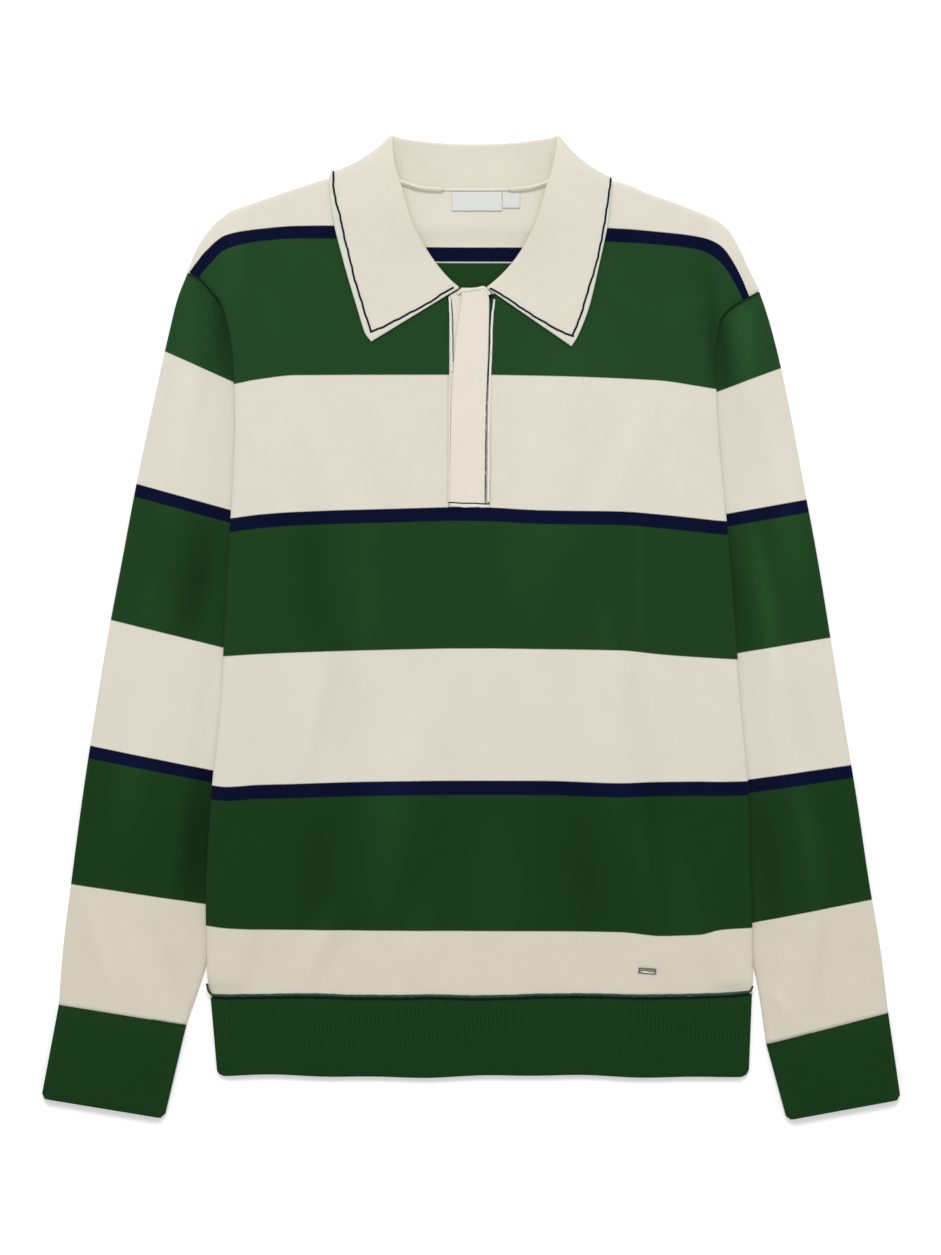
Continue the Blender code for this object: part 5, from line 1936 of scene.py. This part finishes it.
@dataclass(frozen=True)
class PlacketBand:
    """One band of the placket, lying on the front's own surface."""

    name: str
    table: tuple[BandEdge, ...]
    left_z: float
    right_z: float
    thickness: float
    row_step: float = 2.0
    columns: int = 24
    edge_steps: tuple[float, ...] = (0.0, 0.15, 0.5, 1.0)
    edge_run: float = 1.5

    def build(self) -> bpy.types.Object:
        """Build the band with rounded edges."""
        rows = np.array(self.table)
        low, high = rows[0, 0], rows[-1, 0]
        width = rows[0, 2] - rows[0, 1]
        near = np.array(self.edge_steps)
        count = round((high - low) / self.row_step)
        y = np.linspace(low + self.edge_run, high - self.edge_run, count)
        y = np.concatenate((low + near, y, high - near[::-1]))
        shares = np.linspace(0.0, 1.0, self.columns + 1)
        shares = np.sort(np.concatenate((shares, near[1:] / width, 1 - near[1:] / width)))
        sides = smooth(rows[:, 0], rows[:, 1:], y)
        x = sides[:, :1] + (sides[:, 1:] - sides[:, :1]) * shares
        y = np.repeat(y[:, None], len(shares), axis=1)
        top = LAY.front(x, y) + self.left_z + (self.right_z - self.left_z) * shares
        free = np.minimum.reduce((x - x[:, :1], x[:, -1:] - x, y - y[:1], y[-1:] - y))
        half = self.thickness / 2
        part = half * rounded(free, half)
        outer = np.stack((x, y, top - half + part), axis=2)
        inner = np.stack((x, y, top - half - part), axis=2)
        return Shell(self.name, outer, inner, Weave(x, y)).build()


OVER_FREE_LIFT = 2.0
UNDER_SEWN_LIFT = -0.4
UNDER_FREE_LIFT = -2.1


def placket_bands() -> list[bpy.types.Object]:
    """Both bands: the upper one, bowed over the lower one, and the lower one in the slot beneath it."""
    bands = (
        PlacketBand("placket_over_cloth", OVER_BAND, OVER_FREE_LIFT, GAP, BAND_WALL),
        PlacketBand("placket_under_cloth", UNDER_BAND, UNDER_SEWN_LIFT, UNDER_FREE_LIFT, WALL),
    )
    return [band.build() for band in bands]


@dataclass(frozen=True)
class Label:
    """A blank woven label in the back neck, by its sides."""

    name: str
    left_x: float
    right_x: float
    low_y: float
    high_y: float
    thickness: float = 0.7
    step: float = 1.0

    def build(self) -> bpy.types.Object:
        """Build the label on the back panel's inside."""
        x = np.linspace(self.left_x, self.right_x, round((self.right_x - self.left_x) / self.step) + 1)
        y = np.linspace(self.low_y, self.high_y, round((self.high_y - self.low_y) / self.step) + 1)
        x, y = np.meshgrid(x, y)
        low = LAY.back(x, y) + WALL + GAP
        outer = np.stack((x, y, low + self.thickness), axis=2)
        inner = np.stack((x, y, low), axis=2)
        return Shell(self.name, outer, inner, Weave(x, y)).build()


LABELS = (
    Label("label_main_tape", -14.8, 24.1, 323.2, 338.2),
    Label("label_size_tape", 24.5, 38.0, 325.5, 337.4),
)


class TabCorner(NamedTuple):
    """A corner of the metal tab, in halves of its length and height."""

    across: float
    up: float


TAB_CORNERS = each(
    TabCorner,
    (-1.0, -0.55),
    (-0.9, -1.0),
    (0.9, -1.0),
    (1.0, -0.55),
    (0.88, 0.0),
    (1.0, 0.55),
    (0.9, 1.0),
    (-0.9, 1.0),
    (-1.0, 0.55),
    (-0.88, 0.0),
)


class TabStep(NamedTuple):
    """One step of the bar's profile, from its underside to its middle: rim is 1 on the rim, which gets a
    painted dark reflection.
    """

    inset: float
    height: float
    rim: float


TAB_STEPS = each(
    TabStep,
    (0.0, 0.0, 1.0),
    (0.0, 0.55, 1.0),
    (0.2, 0.8, 1.0),
    (0.75, 0.8, 1.0),
    (0.95, 0.6, 0.0),
)


@dataclass(frozen=True)
class MetalTab:
    """The small bare metal bar above the hem, with its ends nicked."""

    centre: tuple[float, float] = (136.9, -267.1)
    half: tuple[float, float] = (7.1, 2.2)
    tilt: float = -5.0

    def loop(self, step: TabStep) -> list[tuple[float, float, float]]:
        """The outline at one step up the bar's profile."""
        turn = math.radians(self.tilt)
        points = []
        for corner in TAB_CORNERS:
            along = corner.across * (self.half[0] - step.inset)
            up = corner.up * (self.half[1] - step.inset)
            x = self.centre[0] + along * math.cos(turn) - up * math.sin(turn)
            y = self.centre[1] + along * math.sin(turn) + up * math.cos(turn)
            points.append((x, y, float(LAY.front(x, y)) + GAP + step.height))
        return points

    def build(self) -> bpy.types.Object:
        """Build the bar: softened edges, a rim all round and a sunk middle."""
        points = [point for step in TAB_STEPS for point in self.loop(step)]
        count = len(TAB_CORNERS)
        faces = [list(range(count))[::-1]]
        for first in range(0, count * (len(TAB_STEPS) - 1), count):
            for j in range(count):
                after = (j + 1) % count
                faces.append([first + j, first + after, first + after + count, first + j + count])
        faces.append([len(points) - count + j for j in range(count)])
        obj = mesh_object("metal_tab_bar", points, faces)
        write_points(obj, "rim", np.repeat([step.rim for step in TAB_STEPS], count))
        return obj


@dataclass(frozen=True)
class Cut:
    """The flat cut of a cloth piece as it shows, in metres and square metres."""

    width: float
    length: float
    area: float | None = None


def dress(
    obj: bpy.types.Object,
    material: bpy.types.Material,
    nodes: Sequence[str] = (),
) -> None:
    """Give a piece its material, hang it under the root body and hide the solids that it stands for.

    Args:
        obj: the piece.
        material: its finish.
        nodes: the solids that it stands for.
    """
    obj.data.materials.clear()
    obj.data.materials.append(material)
    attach(obj, "root")
    if nodes:
        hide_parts(*nodes)
    LOG.info("%s: %d faces", obj.name, len(obj.data.polygons))


@dataclass(frozen=True)
class Studio:
    """The pale floor, the soft light and the camera over it.

    Places and lengths are in metres, the lens and sensor in millimetres and the lamp's power in watts.
    """

    frame_height: float = 0.975
    cloth_height: float = 0.005
    lens: float = 100.0
    sensor: float = 36.0
    middle: tuple[float, float] = (-0.00049, 0.00021)
    floor_half: float = 1.5
    floor_shade: float = 0.85
    floor_glow: float = 0.26
    sky_strength: float = 0.63
    lamp_size: float = 1.1
    lamp_power: float = 74.0
    lamp_place: tuple[float, float, float] = (-0.1, 2.2, 3.2)

    def build(self) -> None:
        """Add the floor, light and camera."""
        scene = bpy.context.scene
        scene.view_settings.view_transform = "Standard"
        self.floor()
        self.world(scene)
        self.lamp(scene)
        self.camera(scene)

    def floor(self) -> None:
        """A plain pale floor under the shirt."""
        mesh = bpy.data.meshes.new("floor")
        half = self.floor_half
        corners = [(-half, -half, 0.0), (half, -half, 0.0), (half, half, 0.0), (-half, half, 0.0)]
        mesh.from_pydata(corners, [], [[0, 1, 2, 3]])
        obj = bpy.data.objects.new("floor", mesh)
        bpy.context.scene.collection.objects.link(obj)
        material = bpy.data.materials.new("floor_paper")
        material.use_nodes = True
        shader = material.node_tree.nodes["Principled BSDF"]
        shader.inputs["Base Color"].default_value = (*(self.floor_shade,) * 3, 1.0)
        shader.inputs["Emission Color"].default_value = (1.0, 1.0, 1.0, 1.0)
        shader.inputs["Emission Strength"].default_value = self.floor_glow
        shader.inputs["Roughness"].default_value = 1.0
        shader.inputs["Specular IOR Level"].default_value = 0.0
        mesh.materials.append(material)

    def world(self, scene: bpy.types.Scene) -> None:
        """An even pale sky."""
        world = bpy.data.worlds.new("sky")
        world.use_nodes = True
        background = world.node_tree.nodes["Background"]
        background.inputs[0].default_value = (1.0, 1.0, 1.0, 1.0)
        background.inputs[1].default_value = self.sky_strength
        scene.world = world

    def lamp(self, scene: bpy.types.Scene) -> None:
        """One large soft light towards the collar's end."""
        light = bpy.data.lights.new("softbox", "AREA")
        light.shape = "SQUARE"
        light.size = self.lamp_size
        light.energy = self.lamp_power
        obj = bpy.data.objects.new("softbox", light)
        obj.location = self.lamp_place
        obj.rotation_euler = Vector(obj.location).to_track_quat("Z", "Y").to_euler()
        scene.collection.objects.link(obj)

    def camera(self, scene: bpy.types.Scene) -> None:
        """A camera straight overhead."""
        data = bpy.data.cameras.new("overhead")
        data.sensor_fit = "VERTICAL"
        data.sensor_height = self.sensor
        data.lens = self.lens
        obj = bpy.data.objects.new("overhead", data)
        obj.location = (*self.middle, self.cloth_height + self.frame_height * self.lens / self.sensor)
        scene.collection.objects.link(obj)
        scene.camera = obj


Piece = tuple[bpy.types.Object, bpy.types.Material]


def dress_all(pieces: Sequence[Piece]) -> None:
    """Dress several small pieces of one slot."""
    for obj, material in pieces:
        dress(obj, material)


class Wardrobe:
    """All the pieces of the shirt, built and dressed in order."""

    def __init__(self) -> None:
        """Make the finishes and the node groups."""
        self.body = Jersey("body_jersey", stripes=BODY_STRIPES).build()
        self.back_body = Jersey("back_jersey", stripes=BACK_STRIPES).build()
        self.left_sleeve = Jersey("left_sleeve_jersey", stripes=sleeve_stripes(LEFT_LINES)).build()
        self.right_sleeve = Jersey("right_sleeve_jersey", stripes=sleeve_stripes(RIGHT_LINES)).build()
        # The rib bands and the green thread use the painted-shade copy of the green yarn.
        self.rib = RibKnit("rib_green", yarn=Yarn.GREEN_PAINTED_SHADE, relief=0.1).build()
        self.green = Thread("green_thread", yarn=Yarn.GREEN_PAINTED_SHADE).build()
        self.collar = CollarKnit("collar_cream").build()
        self.placket = PlainKnit("placket_cream", yarn=Yarn.IVORY).build()
        self.navy = Thread("navy_thread", yarn=Yarn.NAVY).build()
        self.dark = Thread("dark_thread", yarn=Yarn.DARK).build()
        self.teal = Thread("teal_cord", yarn=Yarn.TEAL).build()
        self.white = Thread("white_piping", yarn=Yarn.WHITE).build()
        self.cream = Thread("cream_tape", yarn=Yarn.CREAM).build()
        self.tape = LabelCloth("label_tape").build()
        self.metal = SatinMetal("tab_metal", roughness=0.38).build()
        self.ribs = rib_tree()
        self.stitches = stitch_tree()
        self.cords = cord_tree()

    def laid(
        self,
        line: StitchLine | CordLine,
        under: Sequence[bpy.types.Object],
        thread: bpy.types.Material,
    ) -> Piece:
        """Lay one row of stitches or one cord.

        Args:
            line: the stitches or the cord.
            under: the pieces that it lies on.
            thread: its finish.

        Returns:
            The new piece and its finish.
        """
        tree = self.stitches if isinstance(line, StitchLine) else self.cords
        return line.build(under, tree, thread), thread

    def panels(self) -> None:
        """The back, the front and the cord along the hem."""
        panels = BodyPanels()
        self.back = panels.back()
        self.front = write_folds(panels.front(), BODY_FOLDS)
        bpy.context.view_layer.update()
        pieces = [
            self.laid(HEM_CHAIN, [self.front], self.teal),
            self.laid(HEM_LINE, [self.front], self.dark),
        ]
        dress_all(pieces)
        dress(self.back, self.back_body, ["back"])
        dress(self.front, self.body, ["front"])

    def sleeves(self) -> None:
        """Both sleeves."""
        left = write_folds(Sleeve("sleeve_left_cloth", LEFT_SLEEVE, LEFT_LINES).build(), SLEEVE_FOLDS)
        right = write_folds(Sleeve("sleeve_right_cloth", RIGHT_SLEEVE, RIGHT_LINES).build(), SLEEVE_FOLDS)
        dress(left, self.left_sleeve, ["sleeve_left"])
        dress(right, self.right_sleeve, ["sleeve_right"])

    def bands(self) -> None:
        """The waistband and the cuffs."""
        waist = self.ribbed(RibBand("waistband_rib", hem_sections(), LAY.front, HEM_WAVES, WAIST_TOP))
        dress(waist, self.rib, ["waistband"])
        for side, table in (("left", LEFT_CUFF), ("right", RIGHT_CUFF)):
            cuff = self.ribbed(RibBand(f"cuff_{side}_rib", cuff_sections(table), LAY.sleeve))
            bpy.context.view_layer.update()
            stitches, _ = self.laid(cuff_seam(side, table[0]), [cuff], self.green)
            dress(stitches, self.green)
            dress(cuff, self.rib, [f"cuff_{side}"])

    def ribbed(self, band: RibBand) -> bpy.types.Object:
        """One band, ribbed by the node group."""
        values = {"Depth": band.depth * MM, "Sharpness": band.sharpness, "Material": self.rib}
        return grown(band.build(), self.ribs, values)

    def neck(self) -> None:
        """The collar with its navy line, and the labels."""
        collar = Collar().build()
        bpy.context.view_layer.update()
        pieces = [self.laid(line, [collar], self.navy) for line in COLLAR_LINES]
        pieces.append(self.laid(NECK_CORD, [self.back], self.cream))
        dress_all(pieces)
        dress(collar, self.collar, ["collar"])
        for label, node in zip(LABELS, ("label_main", "label_size")):
            dress(label.build(), self.tape, [node])

    def placket_set(self) -> None:
        """Both placket bands with their piping, dark lines and dashes."""
        over, under = placket_bands()
        bpy.context.view_layer.update()
        on_over, on_under = [over, self.front], [under, self.front]
        pieces = [self.laid(line, on_over, self.navy) for line in PLACKET_LINES + PLACKET_DASHES]
        pieces += [
            self.laid(FRAY_CORD, on_over, self.white),
            self.laid(GATHER_CORD, [over], self.cream),
            self.laid(EDGE_CORD, [self.front], self.cream),
            self.laid(RIGHT_CORD, [self.front], self.white),
            self.laid(LEFT_CORD, on_under, self.white),
            self.laid(LEFT_LINE, on_under, self.navy),
        ]
        dress_all(pieces)
        dress(over, self.placket, ["placket_over"])
        dress(under, self.placket, ["placket_under"])

    def tab(self) -> None:
        """The metal bar above the hem."""
        dress(MetalTab().build(), self.metal, ["metal_tab"])


def main() -> None:
    """Build the shirt, dress it and light it."""
    logging.basicConfig(level=logging.INFO, format="%(name)s %(message)s")
    wardrobe = Wardrobe()
    wardrobe.panels()
    wardrobe.sleeves()
    wardrobe.bands()
    wardrobe.neck()
    wardrobe.placket_set()
    wardrobe.tab()
    Studio().build()


if __name__ == "__main__":
    main()
